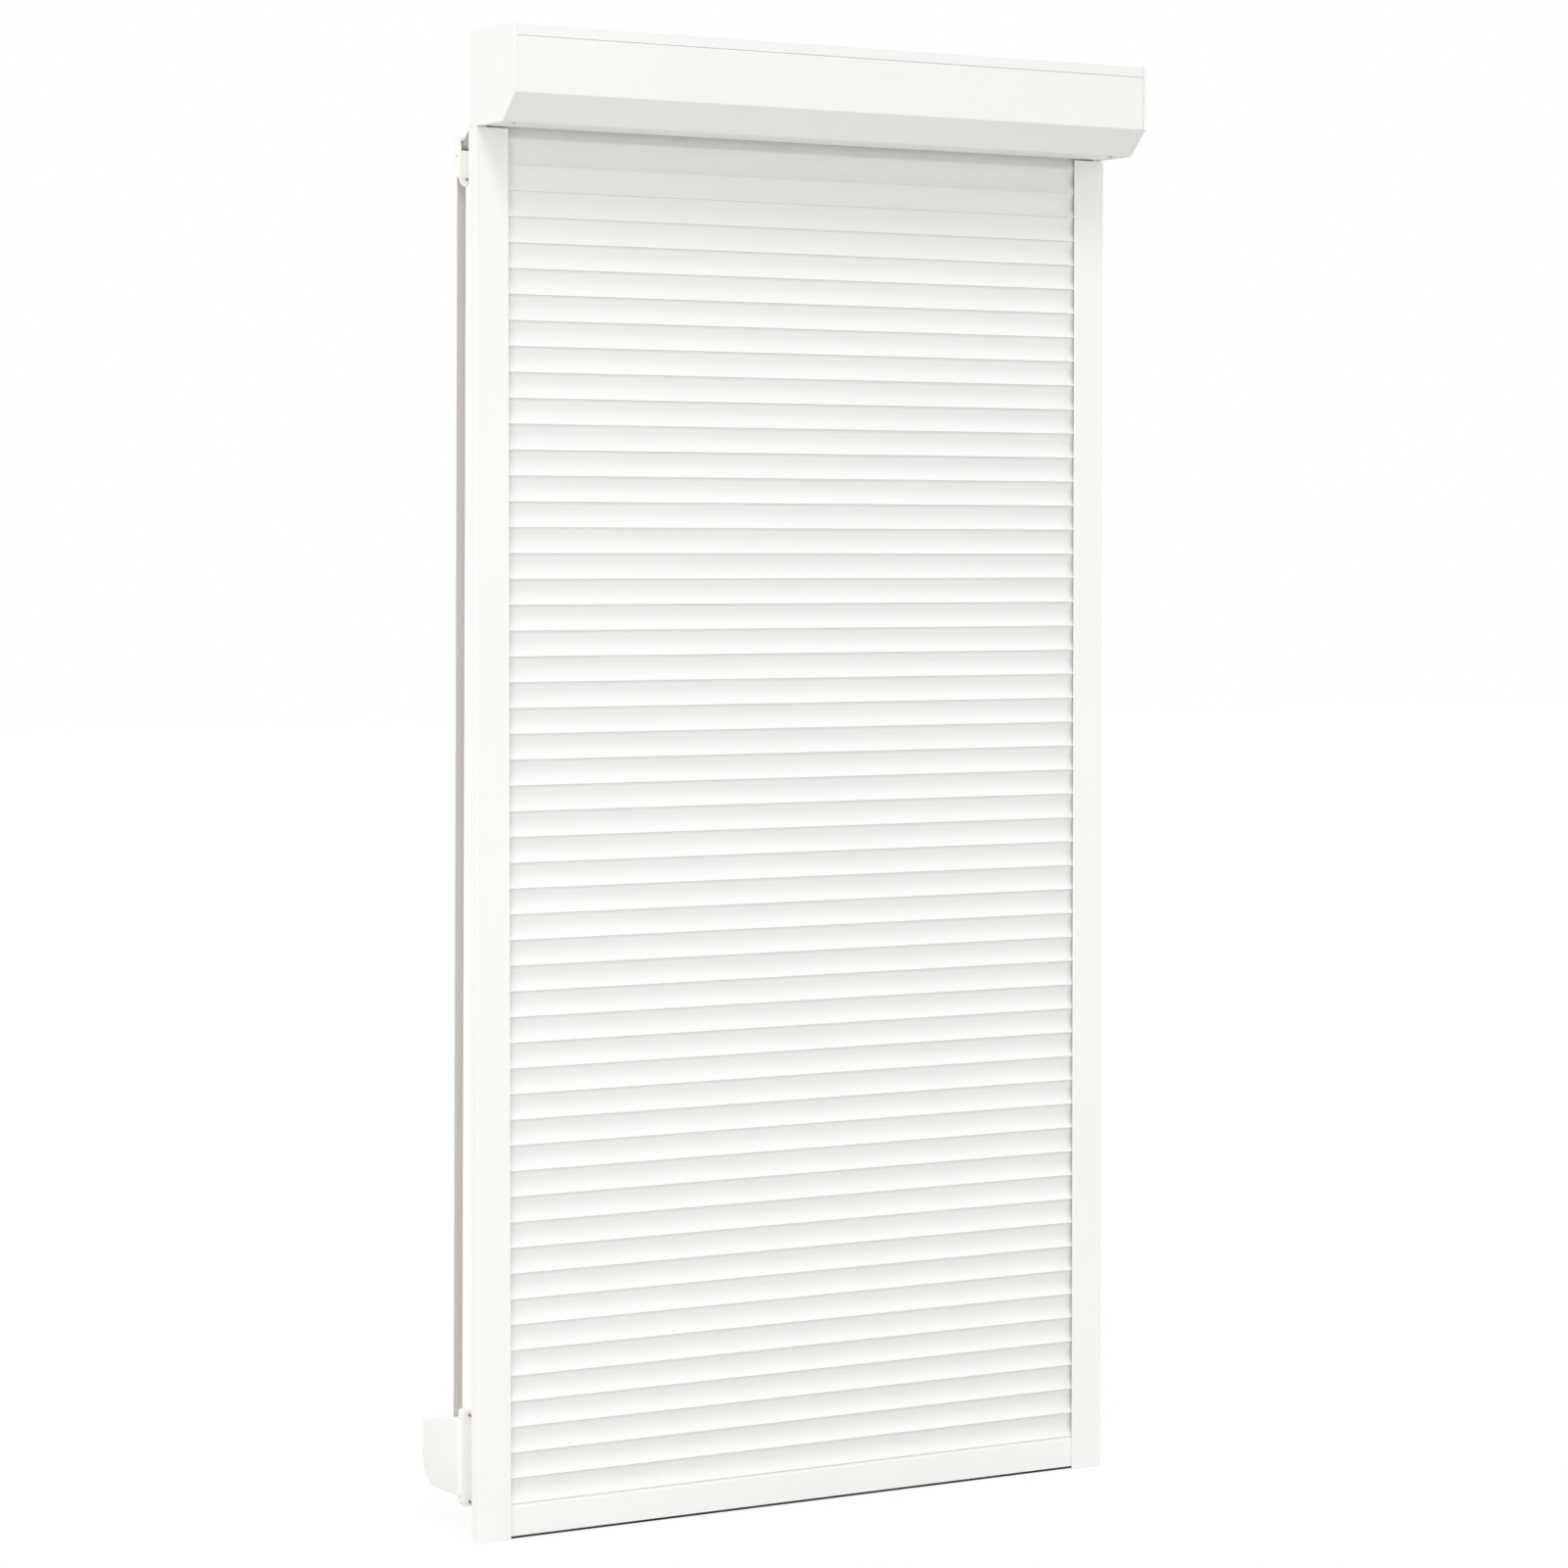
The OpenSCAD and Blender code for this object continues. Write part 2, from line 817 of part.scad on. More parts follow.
module axle_stub() {
    color(steel)
        rod_x(bearing_bore, -sheet_x - cap_t + 1.5 + 0.1, pulley_x0 + stub_len, axis_y, axis_z);
}

module axle_stub_left() {
    axle_stub();
}

module axle_stub_right() {
    mirror([1, 0, 0])
        axle_stub();
}

// Spring steel strips from the tube to the top slat
module curtain_hangers() {
    tail = tube_af / 2 + slide_gap;
    foot_low = bar_top + slat_count * slat_pitch + slat_gap;
    skin = [
        [axis_y + tube_in_af / 2 - 4, axis_z + 4.2],
        [axis_y + tail + hanger_t, axis_z + 4.2],
        [axis_y + tail + hanger_t, axis_z - 8],
        [curtain_y + tongue_u - 5, foot_low + hanger_foot_h + 5],
        [curtain_y + tongue_u + 1, foot_low + hanger_foot_h - 2]
    ];
    color(steel)
        for (i = [-1:1])
            along_x(i * hanger_span - hanger_w / 2, i * hanger_span + hanger_w / 2) {
                polygon(folded(skin, -hanger_t, [[0, 0.6, 8, 6, 0], [0, 0.2, 8, 6, 0]]));
                translate([curtain_y, foot_low - slat_gap])
                    difference() {
                        pane([tongue_u - 2.6, slat_gap], [tongue_u + 2.4, hanger_foot_h + slat_gap]);
                        hook_cavity();
                    }
            }
}

// Curtain
module hook_cavity() {
    pane([tongue_u - slot_w / 2, -1], [tongue_u + slot_w / 2, hook_v]);
    translate([tongue_u, hook_v])
        circle(r = hook_r);
}

module slat_tongue(v) {
    pane([tongue_u - tongue_t / 2, v - 0.5], [tongue_u + tongue_t / 2, v + tongue_h]);
    translate([tongue_u, v + slat_gap / 2 + tongue_h])
        circle(r = bulb_r);
}

// Room in front of a slat: a hollow round below and a straight lean above, moved in by d
module slat_front(d) {
    middle = [-slat_face_r, slat_hollow_v];
    turn = middle + polar(slat_face_r + d, slat_lean);
    high = turn + slat_pitch * [-sin(slat_lean), cos(slat_lean)];
    translate(middle)
        circle(r = slat_face_r + d, $fn = 180);
    polygon([middle, turn, high, [middle[0], high[1]]]);
}

// Slat between its hollow front and its bowed back, moved in from the outside by d
module slat_body(d, low, high) {
    difference() {
        intersection() {
            translate([slat_back - slat_back_r, slat_hollow_v])
                circle(r = slat_back_r - d, $fn = 360);
            pane([-slat_lip + d, low], [slat_back, high]);
        }
        slat_front(d);
    }
}

module slat_section() {
    shoulder = slat_pitch - slat_gap;
    difference() {
        union() {
            slat_body(0, 0, shoulder);
            slat_tongue(shoulder);
        }
        hook_cavity();
        difference() {
            slat_body(slat_wall, slat_wall, shoulder - slat_wall);
            pane([tongue_u - hook_r - slat_wall, 0], [slat_back, hook_v + hook_r + slat_wall]);
        }
    }
}

module slat(i) {
    along_x(-slat_x, slat_x)
        translate([curtain_y, bar_top + i * slat_pitch])
            slat_section();
}

module slat_bank(bank) {
    first = (bank - 1) * bank_size;
    last = min(bank * bank_size, slat_count) - 1;
    color(white)
        for (i = [first:last])
            slat(i);
}

// Locks on the ends of every second slat
module slat_end_clips() {
    color(soft_white)
        for (i = [0:2:slat_count - 1], side = [0, 1])
            mirror([side, 0, 0])
                along_x(slat_x + 0.02, slat_x + clip_t)
                    translate([curtain_y, bar_top + i * slat_pitch])
                        slat_body(clip_edge, clip_low, slat_pitch - clip_drop);
}

module bar_section() {
    front = -bar_front;
    shoulder = bar_h - slat_gap;
    difference() {
        union() {
            polygon(rounded(
                [
                    [front, 0],
                    [slat_back, 0],
                    [slat_back, shoulder],
                    [front + bar_step, shoulder],
                    [front + bar_step, shoulder - bar_step_v],
                    [front, shoulder - bar_step_v - 0.4]
                ],
                [0.6, 0.6, 0.4, 0.8, 0, 0.3]
            ));
            slat_tongue(shoulder);
        }
        pane([front + bar_wall + bar_step, seal_groove + 2 * bar_wall], [slat_back - bar_wall, shoulder - bar_wall]);
        pane([-seal_neck / 2, -1], [seal_neck / 2, seal_groove]);
        pane([-seal_head / 2, seal_groove - 3], [seal_head / 2, seal_groove]);
    }
}

module bottom_bar() {
    color(white)
        along_x(-slat_x, slat_x)
            translate([curtain_y, bar_low])
                bar_section();
}

module bar_end_plugs() {
    low = seal_groove + 2 * bar_wall + seat_gap;
    high = bar_h - slat_gap - bar_wall - seat_gap;
    u0 = -bar_front + bar_wall + bar_step + seat_gap;
    u1 = slat_back - bar_wall - seat_gap;
    color(soft_white)
        for (side = [0, 1])
            mirror([side, 0, 0])
                translate([0, curtain_y, bar_low]) {
                    along_x(slat_x - plug_len, slat_x + 0.02)
                        pane([u0, low], [u1, high]);
                    along_x(slat_x + 0.02, slat_x + plug_flange)
                        pane([u0 - 0.6, low - 1], [u1 + 0.6, high + 0.6]);
                }
}

module bottom_seal() {
    g = seat_gap;
    color(black)
        along_x(-slat_x, slat_x)
            translate([curtain_y, bar_low]) {
                polygon(rounded(
                    [[-bar_front + 0.6, -seal_h], [slat_back - 0.6, -seal_h], [slat_back - 0.6, -0.02],
                        [-bar_front + 0.6, -0.02]],
                    [1.2, 1.2, 0, 0]
                ));
                pane([-seal_neck / 2 + g, -0.5], [seal_neck / 2 - g, seal_groove - g]);
                pane([-seal_head / 2 + g, seal_groove - 3 + g], [seal_head / 2 - g, seal_groove - g]);
            }
}

// Strap from the pulley over the outlet lip and the guide roller to the winder's reel
module strap_run() {
    color(webbing)
        along_x(strap_x - strap_w / 2, strap_x + strap_w / 2)
            polygon(concat(strap_side(strap_t / 2), flip(strap_side(-strap_t / 2))));
}

// Strap guide on the room side
module guide_outline() {
    back = fitting_y + guide_deep;
    polygon(rounded(
        [
            [fitting_y, guide_high],
            [fitting_y, guide_low + guide_w / 2],
            [fitting_y + guide_plate_t, guide_low + guide_w / 2],
            [back, guide_low + 28],
            [back, guide_high]
        ],
        [0, 0, 0, 8, 6]
    ));
}

module guide_opening() {
    back = fitting_y + guide_deep;
    polygon([
        [fitting_y + guide_plate_t, guide_high - guide_wall],
        [fitting_y + guide_plate_t, guide_low],
        [back - guide_wall, guide_low],
        [back - guide_wall, guide_high - guide_wall]
    ]);
}

module strap_guide() {
    half = guide_w / 2;
    color(soft_white)
        difference() {
            union() {
                along_x(strap_x - half, strap_x + half)
                    guide_outline();
                translate([strap_x, fitting_y + guide_plate_t, guide_low + half])
                    rotate([90, 0, 0])
                        cylinder(r = half, h = guide_plate_t);
            }
            along_x(strap_x - half + guide_wall, strap_x + half - guide_wall)
                guide_opening();
            block(
                [strap_x - strap_w / 2 - 1.5, fitting_y - 1, guide_high - guide_bridge - guide_opening_h],
                [strap_x + strap_w / 2 + 1.5, fitting_y + guide_plate_t + 1, guide_high - guide_bridge]
            );
            rod_x(guide_pin_d + 0.04, strap_x - half - 1, strap_x + half + 1, roller_y, roller_z);
            translate([strap_x, fitting_y + guide_plate_t + 1, guide_low + guide_screw_up])
                rotate([90, 0, 0])
                    cylinder(d = screw_d + 0.3, h = guide_plate_t + 2);
        }
}

module guide_roller() {
    half = guide_w / 2 - guide_wall - slide_gap;
    color(soft_white)
        translate([strap_x, roller_y, roller_z])
            rotate([0, 90, 0])
                rotate_extrude()
                    polygon([
                        [guide_pin_d / 2 + turn_gap, -half],
                        [roller_d / 2 + roller_rim, -half],
                        [roller_d / 2 + roller_rim, -half + 0.5],
                        [roller_d / 2, -half + 1],
                        [roller_d / 2, half - 1],
                        [roller_d / 2 + roller_rim, half - 0.5],
                        [roller_d / 2 + roller_rim, half],
                        [guide_pin_d / 2 + turn_gap, half]
                    ]);
}

module guide_pin() {
    color(steel)
        rod_x(guide_pin_d, strap_x - guide_w / 2, strap_x + guide_w / 2, roller_y, roller_z);
}

// Countersunk wood screw with its head on the plane y and its point toward the wall
module wood_screw(y, z) {
    translate([strap_x, y, z])
        rotate([90, 0, 0])
            rotate_extrude()
                polygon([
                    [0, -head_t],
                    [screw_head_d / 2, -head_t],
                    [screw_head_d / 2, -0.05],
                    [screw_d / 2 - 0.3, -0.05],
                    [screw_d / 2 - 0.3, screw_neck],
                    [screw_d / 2, screw_neck + 0.4],
                    [screw_d / 2, screw_len - screw_point],
                    [0, screw_len]
                ]);
}

module guide_screw() {
    color(brass)
        wood_screw(fitting_y + guide_plate_t + 0.02, guide_low + guide_screw_up);
}

// Boss that holds a pivot pin, on two cheeks that leave room for the screw's head
module base_ear() {
    low = housing_h / 2 + ear_gap;
    face = fitting_y + winder_base_t;
    difference() {
        union() {
            translate([strap_x, pivot_y, low])
                rotate_extrude()
                    polygon(rounded([[0, 0], [ear_r, 0], [ear_r, ear_t], [0, ear_t]], [0, 0, ear_round, 0]));
            block([strap_x - ear_r, face - 0.5, low], [strap_x + ear_r, pivot_y, low + ear_t - ear_round]);
        }
        block([strap_x - screw_room, face, low - 1], [strap_x + screw_room, face + head_t + 3, low + ear_t]);
    }
}

// Winder base plate with an ear at each end
module winder_base() {
    half = winder_base_w / 2;
    high = winder_base_h / 2;
    color(soft_white)
        translate([0, 0, winder_z])
            difference() {
                union() {
                    translate([strap_x, fitting_y + winder_base_t, 0])
                        rotate([90, 0, 0])
                            linear_extrude(winder_base_t)
                                polygon(rounded(
                                    [[-half, -high], [half, -high], [half, high], [-half, high]],
                                    [4, 4, 4, 4]
                                ));
                    for (end = [0, 1])
                        mirror([0, 0, end])
                            base_ear();
                }
                translate([strap_x, pivot_y, -winder_base_h])
                    cylinder(d = pivot_d + 0.04, h = 2 * winder_base_h);
                for (side = [-1, 1])
                    translate([strap_x, fitting_y + winder_base_t + 1, side * winder_screw_pitch / 2])
                        rotate([90, 0, 0])
                            cylinder(d = screw_d + 0.3, h = winder_base_t + 2);
            }
}

module winder_screws() {
    color(brass)
        for (side = [-1, 1])
            wood_screw(fitting_y + winder_base_t + 0.02, winder_z + side * winder_screw_pitch / 2);
}

module pivot_pins() {
    color(steel) {
        translate([strap_x, pivot_y, shell_high - pivot_in])
            cylinder(d = pivot_d, h = pivot_in + ear_gap + ear_t);
        translate([strap_x, pivot_y, shell_low - ear_gap - ear_t])
            cylinder(d = pivot_d, h = pivot_in + ear_gap + ear_t);
    }
}

// Side view of the housing, moved in from its outside by d
module shell_outline(d) {
    polygon(rounded(
        [
            [shell_rear + d, shell_low + d],
            [shell_front - d, shell_low + d],
            [shell_front - d, shell_high - shell_slope - d],
            [pivot_y + shell_flat, shell_high - d],
            [shell_rear + d, shell_high - d]
        ],
        [0, shell_low_r - d, shell_high_r - d, 0, 0]
    ));
}

// Plan of the housing, round about the pivot at its rear
module shell_plan(d) {
    half = winder_w / 2 - d;
    translate([strap_x, pivot_y])
        circle(r = half);
    pane([strap_x - half, pivot_y], [strap_x + half, shell_front + 1]);
}

module shell_solid(d) {
    intersection() {
        along_x(strap_x - winder_w / 2 + d, strap_x + winder_w / 2 - d)
            shell_outline(d);
        along_z(shell_low, shell_high)
            shell_plan(d);
    }
}

// One half of the housing, on the side that the sign names
module winder_shell(side) {
    x_out = strap_x + side * winder_w / 2;
    split = strap_x + side * 0.02;
    boss_reach = winder_wall + axle_boss_h;
    color(white)
        difference() {
            union() {
                difference() {
                    shell_solid(0);
                    shell_solid(winder_wall);
                }
                intersection() {
                    shell_solid(winder_wall / 2);
                    union() {
                        for (z = [shell_low, shell_high - pivot_in - 1])
                            translate([strap_x, pivot_y, z])
                                cylinder(d = pivot_d + 5, h = pivot_in + 1);
                        rod_x(
                            2 * axle_boss_r,
                            min(x_out, x_out - side * boss_reach),
                            max(x_out, x_out - side * boss_reach),
                            reel_y,
                            reel_z
                        );
                    }
                }
            }
            block(
                [side > 0 ? strap_x - winder_w : split, 0, shell_low - 1],
                [side > 0 ? split : strap_x + winder_w, shell_front + 1, shell_high + 1]
            );
            rod_x(reel_axle_d + 0.04, strap_x - winder_w / 2 + 1, strap_x + winder_w / 2 - 1, reel_y, reel_z);
            rod_x(clamp_pin_d + 0.04, strap_x - winder_w / 2 + 0.8, strap_x + winder_w / 2 - 0.8, clamp_y, clamp_z);
            translate([strap_x, pivot_y, shell_low - 1])
                cylinder(d = pivot_d + 2 * turn_gap, h = housing_h + 2);
            block(
                [strap_x - strap_w / 2 - 1.5, strap_entry_y - 3.5, shell_high - winder_wall - slot_deep],
                [strap_x + strap_w / 2 + 1.5, strap_entry_y + slot_ahead, shell_high + 1]
            );
        }
}

module winder_shell_left() {
    winder_shell(-1);
}

module winder_shell_right() {
    winder_shell(1);
}

module reel_axle() {
    color(steel)
        rod_x(reel_axle_d, strap_x - winder_w / 2 + 1, strap_x + winder_w / 2 - 1, reel_y, reel_z);
}

// Reel with a hollow core for the spring
module strap_reel() {
    half = reel_w / 2;
    color(black)
        translate([strap_x, reel_y, reel_z])
            rotate([0, 90, 0])
                rotate_extrude()
                    polygon([
                        [reel_axle_d / 2 + turn_gap, half - 2],
                        [reel_core_d / 2 - hub_wall, half - 2],
                        [reel_core_d / 2 - hub_wall, -half],
                        [reel_d / 2, -half],
                        [reel_d / 2, -half + reel_flange_t],
                        [reel_core_d / 2, -half + reel_flange_t],
                        [reel_core_d / 2, half - reel_flange_t],
                        [reel_d / 2, half - reel_flange_t],
                        [reel_d / 2, half],
                        [reel_axle_d / 2 + turn_gap, half]
                    ]);
}

module reel_coil() {
    outline = winding(reel_r0, coil_pitch, reel_turns, strap_t, heading(last_round - 1) - 90, -1);
    echo(reel_coil_least_gap = winding_gap(outline, reel_turns));
    color(webbing)
        along_x(strap_x - strap_w / 2, strap_x + strap_w / 2)
            translate([reel_y, reel_z])
                polygon(outline);
}

// Flat spiral spring between the axle and the reel's core
module reel_spring() {
    outline = winding(spring_r0, spring_pitch, spring_turns, spring_t, 0, 1);
    color(steel)
        along_x(strap_x - reel_w / 2 + 1, strap_x + reel_w / 2 - 3)
            translate([reel_y, reel_z])
                polygon(outline);
}

// Toothed lever that holds the strap
module strap_clamp() {
    nose = strap_entry_y - strap_t / 2 - 1.2 - clamp_y;
    color(steel)
        along_x(strap_x - clamp_w / 2, strap_x + clamp_w / 2)
            translate([clamp_y, clamp_z])
                difference() {
                    polygon(rounded(
                        [[-4, -4], [2, -4], [nose, -1.5], [nose, 2.5], [1, 4], [-4, 4]],
                        [3.5, 1, 0.4, 0.4, 2, 3.5]
                    ));
                    circle(d = clamp_pin_d + 2 * turn_gap);
                }
}

module clamp_pin() {
    color(steel)
        rod_x(clamp_pin_d, strap_x - winder_w / 2 + 0.8, strap_x + winder_w / 2 - 0.8, clamp_y, clamp_z);
}

box_top_shell();
box_front_cover();
end_cap_left();
end_cap_right();
cover_screws();
strap_outlet();
guide_rail_left();
guide_rail_right();
front_liner_left();
front_liner_right();
rear_glide_left();
rear_glide_right();
inlet_guide_left();
inlet_guide_right();
rail_foot_plugs();
winding_tube();
tube_plug();
strap_pulley();
pulley_coil();
bearing_left();
bearing_right();
axle_stub_left();
axle_stub_right();
curtain_hangers();
for (bank = [1:bank_count])
    slat_bank(bank);
slat_end_clips();
bottom_bar();
bar_end_plugs();
bottom_seal();
strap_run();
strap_guide();
guide_roller();
guide_pin();
guide_screw();
winder_base();
winder_screws();
winder_shell_left();
winder_shell_right();
pivot_pins();
reel_axle();
strap_reel();
reel_coil();
reel_spring();
strap_clamp();
clamp_pin();
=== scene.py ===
"""Looks of an exterior roller shutter with a strap drive, closed, seen from outside and from the left."""

from __future__ import annotations

import json
import logging
import math
from dataclasses import dataclass, field
from enum import Enum
from typing import Any, Mapping, Sequence, Union

import bmesh
import bpy
from bpy.types import ID, Light, Material, Mesh, Node, NodeSocket, NodeTree, Object
from mathutils import Matrix, Vector


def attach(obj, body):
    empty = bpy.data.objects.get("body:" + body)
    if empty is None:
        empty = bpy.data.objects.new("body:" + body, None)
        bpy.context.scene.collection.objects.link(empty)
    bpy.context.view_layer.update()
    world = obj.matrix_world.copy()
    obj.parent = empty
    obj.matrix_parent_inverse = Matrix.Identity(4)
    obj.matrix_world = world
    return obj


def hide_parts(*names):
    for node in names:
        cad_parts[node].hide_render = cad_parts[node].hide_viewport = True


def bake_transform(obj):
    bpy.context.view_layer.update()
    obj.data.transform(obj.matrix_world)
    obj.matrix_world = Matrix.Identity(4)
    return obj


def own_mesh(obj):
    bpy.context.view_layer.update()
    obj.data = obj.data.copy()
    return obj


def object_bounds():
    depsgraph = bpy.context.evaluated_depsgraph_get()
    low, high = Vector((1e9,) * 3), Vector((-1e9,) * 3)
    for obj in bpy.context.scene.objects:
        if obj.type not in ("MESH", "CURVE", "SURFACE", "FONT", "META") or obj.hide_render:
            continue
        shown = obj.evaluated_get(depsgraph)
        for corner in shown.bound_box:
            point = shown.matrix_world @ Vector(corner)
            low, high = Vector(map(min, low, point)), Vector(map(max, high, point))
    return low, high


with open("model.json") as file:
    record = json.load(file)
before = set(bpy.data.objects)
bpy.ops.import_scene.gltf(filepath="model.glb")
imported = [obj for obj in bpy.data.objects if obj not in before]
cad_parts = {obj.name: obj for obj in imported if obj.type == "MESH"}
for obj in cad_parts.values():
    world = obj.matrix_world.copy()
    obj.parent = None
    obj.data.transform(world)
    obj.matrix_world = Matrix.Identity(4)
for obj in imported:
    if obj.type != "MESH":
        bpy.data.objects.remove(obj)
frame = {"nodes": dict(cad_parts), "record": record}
CAD_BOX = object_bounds()
LOG = logging.getLogger("shutter")
MM = 0.001
SHARP_ANGLE = math.radians(32.0)
WHITE = (1.0, 1.0, 1.0, 1.0)
# Middle of the strap, its guide and its winder, and top of the winder's housing, in millimetres
STRAP_X = -527.0
WINDER_TOP = -845.0
Point2 = tuple[float, float]
Point3 = tuple[float, float, float]
Colour = tuple[float, float, float]
Number = Union[int, float]
Feed = Union["Value", Sequence["Value"], Sequence[float], Number, str]


class Slot(Enum):
    """Material slots of the record."""

    WHITE_COAT = "white_coat"
    CAP_WHITE = "cap_white"
    CREAM_PLASTIC = "cream_plastic"
    GLIDE_PLASTIC = "glide_plastic"
    BLACK_PLASTIC = "black_plastic"
    ZINC_STEEL = "zinc_steel"
    BRASS = "brass"
    WEBBING = "webbing"
    SEAL_RUBBER = "seal_rubber"


class Body(Enum):
    """Bodies that a piece can ride on."""

    FRAME = "frame"
    CURTAIN = "curtain"
    SHAFT = "winding_shaft"
    WINDER = "winder"
    REEL = "reel"


class Kind(Enum):
    """Kinds of named input that a shape can have."""

    NUMBER = "NodeSocketFloat"
    COUNT = "NodeSocketInt"
    VECTOR = "NodeSocketVector"
    MATERIAL = "NodeSocketMaterial"


class Cut(Enum):
    """What is left of a solid that another one cuts: the part inside it or the part outside it."""

    INSIDE = "INTERSECT"
    OUTSIDE = "DIFFERENCE"


# Node graphs


class Value:
    """A node's output socket that takes part in Python arithmetic."""

    def __init__(self, graph: Graph, socket: NodeSocket) -> None:
        """Keeps the socket and the graph that it belongs to."""
        self.graph = graph
        self.socket = socket

    def __add__(self, other: Feed) -> Value:
        """Sum."""
        return self.graph.math("ADD", self, other)

    __radd__ = __add__

    def __sub__(self, other: Feed) -> Value:
        """Difference."""
        return self.graph.math("SUBTRACT", self, other)

    def __rsub__(self, other: Number) -> Value:
        """Difference from a number."""
        return self.graph.math("SUBTRACT", other, self)

    def __mul__(self, other: Feed) -> Value:
        """Product."""
        return self.graph.math("MULTIPLY", self, other)

    __rmul__ = __mul__

    def __truediv__(self, other: Feed) -> Value:
        """Quotient."""
        return self.graph.math("DIVIDE", self, other)

    def __rtruediv__(self, other: Number) -> Value:
        """Quotient of a number by the value."""
        return self.graph.math("DIVIDE", other, self)

    def either(self, other: Value) -> Value:
        """The larger of two values, which joins masks."""
        return self.graph.math("MAXIMUM", self, other)

    def sine(self) -> Value:
        """Sine of the value in radians."""
        return self.graph.math("SINE", self)

    def wave(self) -> Value:
        """Sine of the value in radians, raised to lie within 0 and 1."""
        return self.sine() * 0.5 + 0.5

    def around(self, middle: float, span: float) -> Value:
        """A value from 0 to 1, spread evenly about a middle."""
        return self * span + (middle - span / 2)

    def between(self, low: float, high: float) -> Value:
        """Share of the way from low to high, kept within 0 and 1."""
        inputs = {"Value": self, "From Min": low, "From Max": high}
        return self.graph.add("ShaderNodeMapRange", {}, inputs)["Result"]


class Made:
    """A node that was added, with its outputs by name or place."""

    def __init__(self, graph: Graph, node: Node) -> None:
        """Keeps the node and the graph that it belongs to."""
        self.graph = graph
        self.node = node

    def __getitem__(self, key: Union[str, int]) -> Value:
        """Output socket as a value."""
        return Value(self.graph, self.node.outputs[key])


class Graph:
    """A node tree with one way to add nodes."""

    def __init__(self, tree: NodeTree) -> None:
        """Keeps the tree."""
        self.tree = tree

    def add(self, kind: str, settings: Mapping[str, Any], inputs: Mapping[Union[str, int], Feed]) -> Made:
        """Adds a node.

        Args:
            kind: The node's type.
            settings: Its own settings, set first; "captures" names the items of a capture.
            inputs: Values, lists of values or constants for its sockets, by name or place.

        Returns:
            The node.
        """
        node = self.tree.nodes.new(kind)
        for name, setting in settings.items():
            if name == "captures":
                for item in setting:
                    node.capture_items.new("FLOAT", item)
            else:
                setattr(node, name, setting)
        for key, value in inputs.items():
            self._feed(node.inputs[key], value)
        return Made(self, node)

    def math(self, operation: str, *terms: Feed) -> Value:
        """Adds a Math node.

        Args:
            operation: Name of its operation.
            terms: Its inputs in order.

        Returns:
            Its result.
        """
        return self.add("ShaderNodeMath", {"operation": operation}, dict(enumerate(terms)))["Value"]

    def _feed(self, socket: NodeSocket, value: Feed) -> None:
        """Links a value or each of a list, or sets a constant.

        Args:
            socket: The input.
            value: What it gets.
        """
        for item in value if isinstance(value, list) else [value]:
            if isinstance(item, Value):
                self.tree.links.new(item.socket, socket)
            else:
                socket.default_value = item


@dataclass(frozen=True)
class Pattern:
    """Noise on a piece's own coordinates: cells per metre, octaves and a factor along each axis."""

    scale: float
    detail: float = 2.0
    stretch: Point3 = (1.0, 1.0, 1.0)


class Surface(Graph):
    """Shader graph of one material."""

    # Places of the sockets that a Mix node has for colours
    MIX_SHARE = 0
    MIX_LOW = 6
    MIX_HIGH = 7
    MIX_RESULT = 2

    def __init__(self, name: str) -> None:
        """Starts an empty material.

        Args:
            name: The material's name.
        """
        self.material = bpy.data.materials.new(name)
        self.material.use_nodes = True
        self.material.node_tree.nodes.clear()
        super().__init__(self.material.node_tree)

    def noise(self, pattern: Pattern) -> Value:
        """Noise over the piece.

        Args:
            pattern: Its scale, detail and stretch.

        Returns:
            Values around 0.5.
        """
        spot = self.add("ShaderNodeTexCoord", {}, {})["Object"]
        inputs = {"Vector": spot, "Scale": pattern.stretch}
        place = self.add("ShaderNodeMapping", {}, inputs)["Vector"]
        inputs = {"Vector": place, "Scale": pattern.scale, "Detail": pattern.detail}
        return self.add("ShaderNodeTexNoise", {}, inputs)["Fac"]

    def attribute(self, name: str) -> Value:
        """Number stored on the mesh."""
        return self.add("ShaderNodeAttribute", {"attribute_name": name}, {})["Fac"]

    def blend(self, share: Value, low: Colour, high: Colour) -> Value:
        """Colour between two.

        Args:
            share: 0 for low, 1 for high.
            low: First colour.
            high: Second colour.

        Returns:
            The mixed colour.
        """
        settings = {"data_type": "RGBA", "clamp_factor": True}
        inputs = {self.MIX_SHARE: share, self.MIX_LOW: (*low, 1.0), self.MIX_HIGH: (*high, 1.0)}
        return self.add("ShaderNodeMix", settings, inputs)[self.MIX_RESULT]

    def bump(self, height: Value, strength: float, distance: float) -> Value:
        """Normal from a height.

        Args:
            height: Height from 0 to 1.
            strength: Share of the effect.
            distance: Height of 1 in metres.

        Returns:
            The normal.
        """
        inputs = {"Height": height, "Strength": strength, "Distance": distance}
        return self.add("ShaderNodeBump", {}, inputs)["Normal"]

    def principled(self, inputs: Mapping[str, Feed]) -> Material:
        """Ends the material in a Principled BSDF.

        Args:
            inputs: Its sockets.

        Returns:
            The material.
        """
        shader = self.add("ShaderNodeBsdfPrincipled", {}, inputs)["BSDF"]
        return self.end(shader)

    def end(self, shader: Value) -> Material:
        """Ends the material in a shader."""
        self.add("ShaderNodeOutputMaterial", {}, {"Surface": shader})
        return self.material


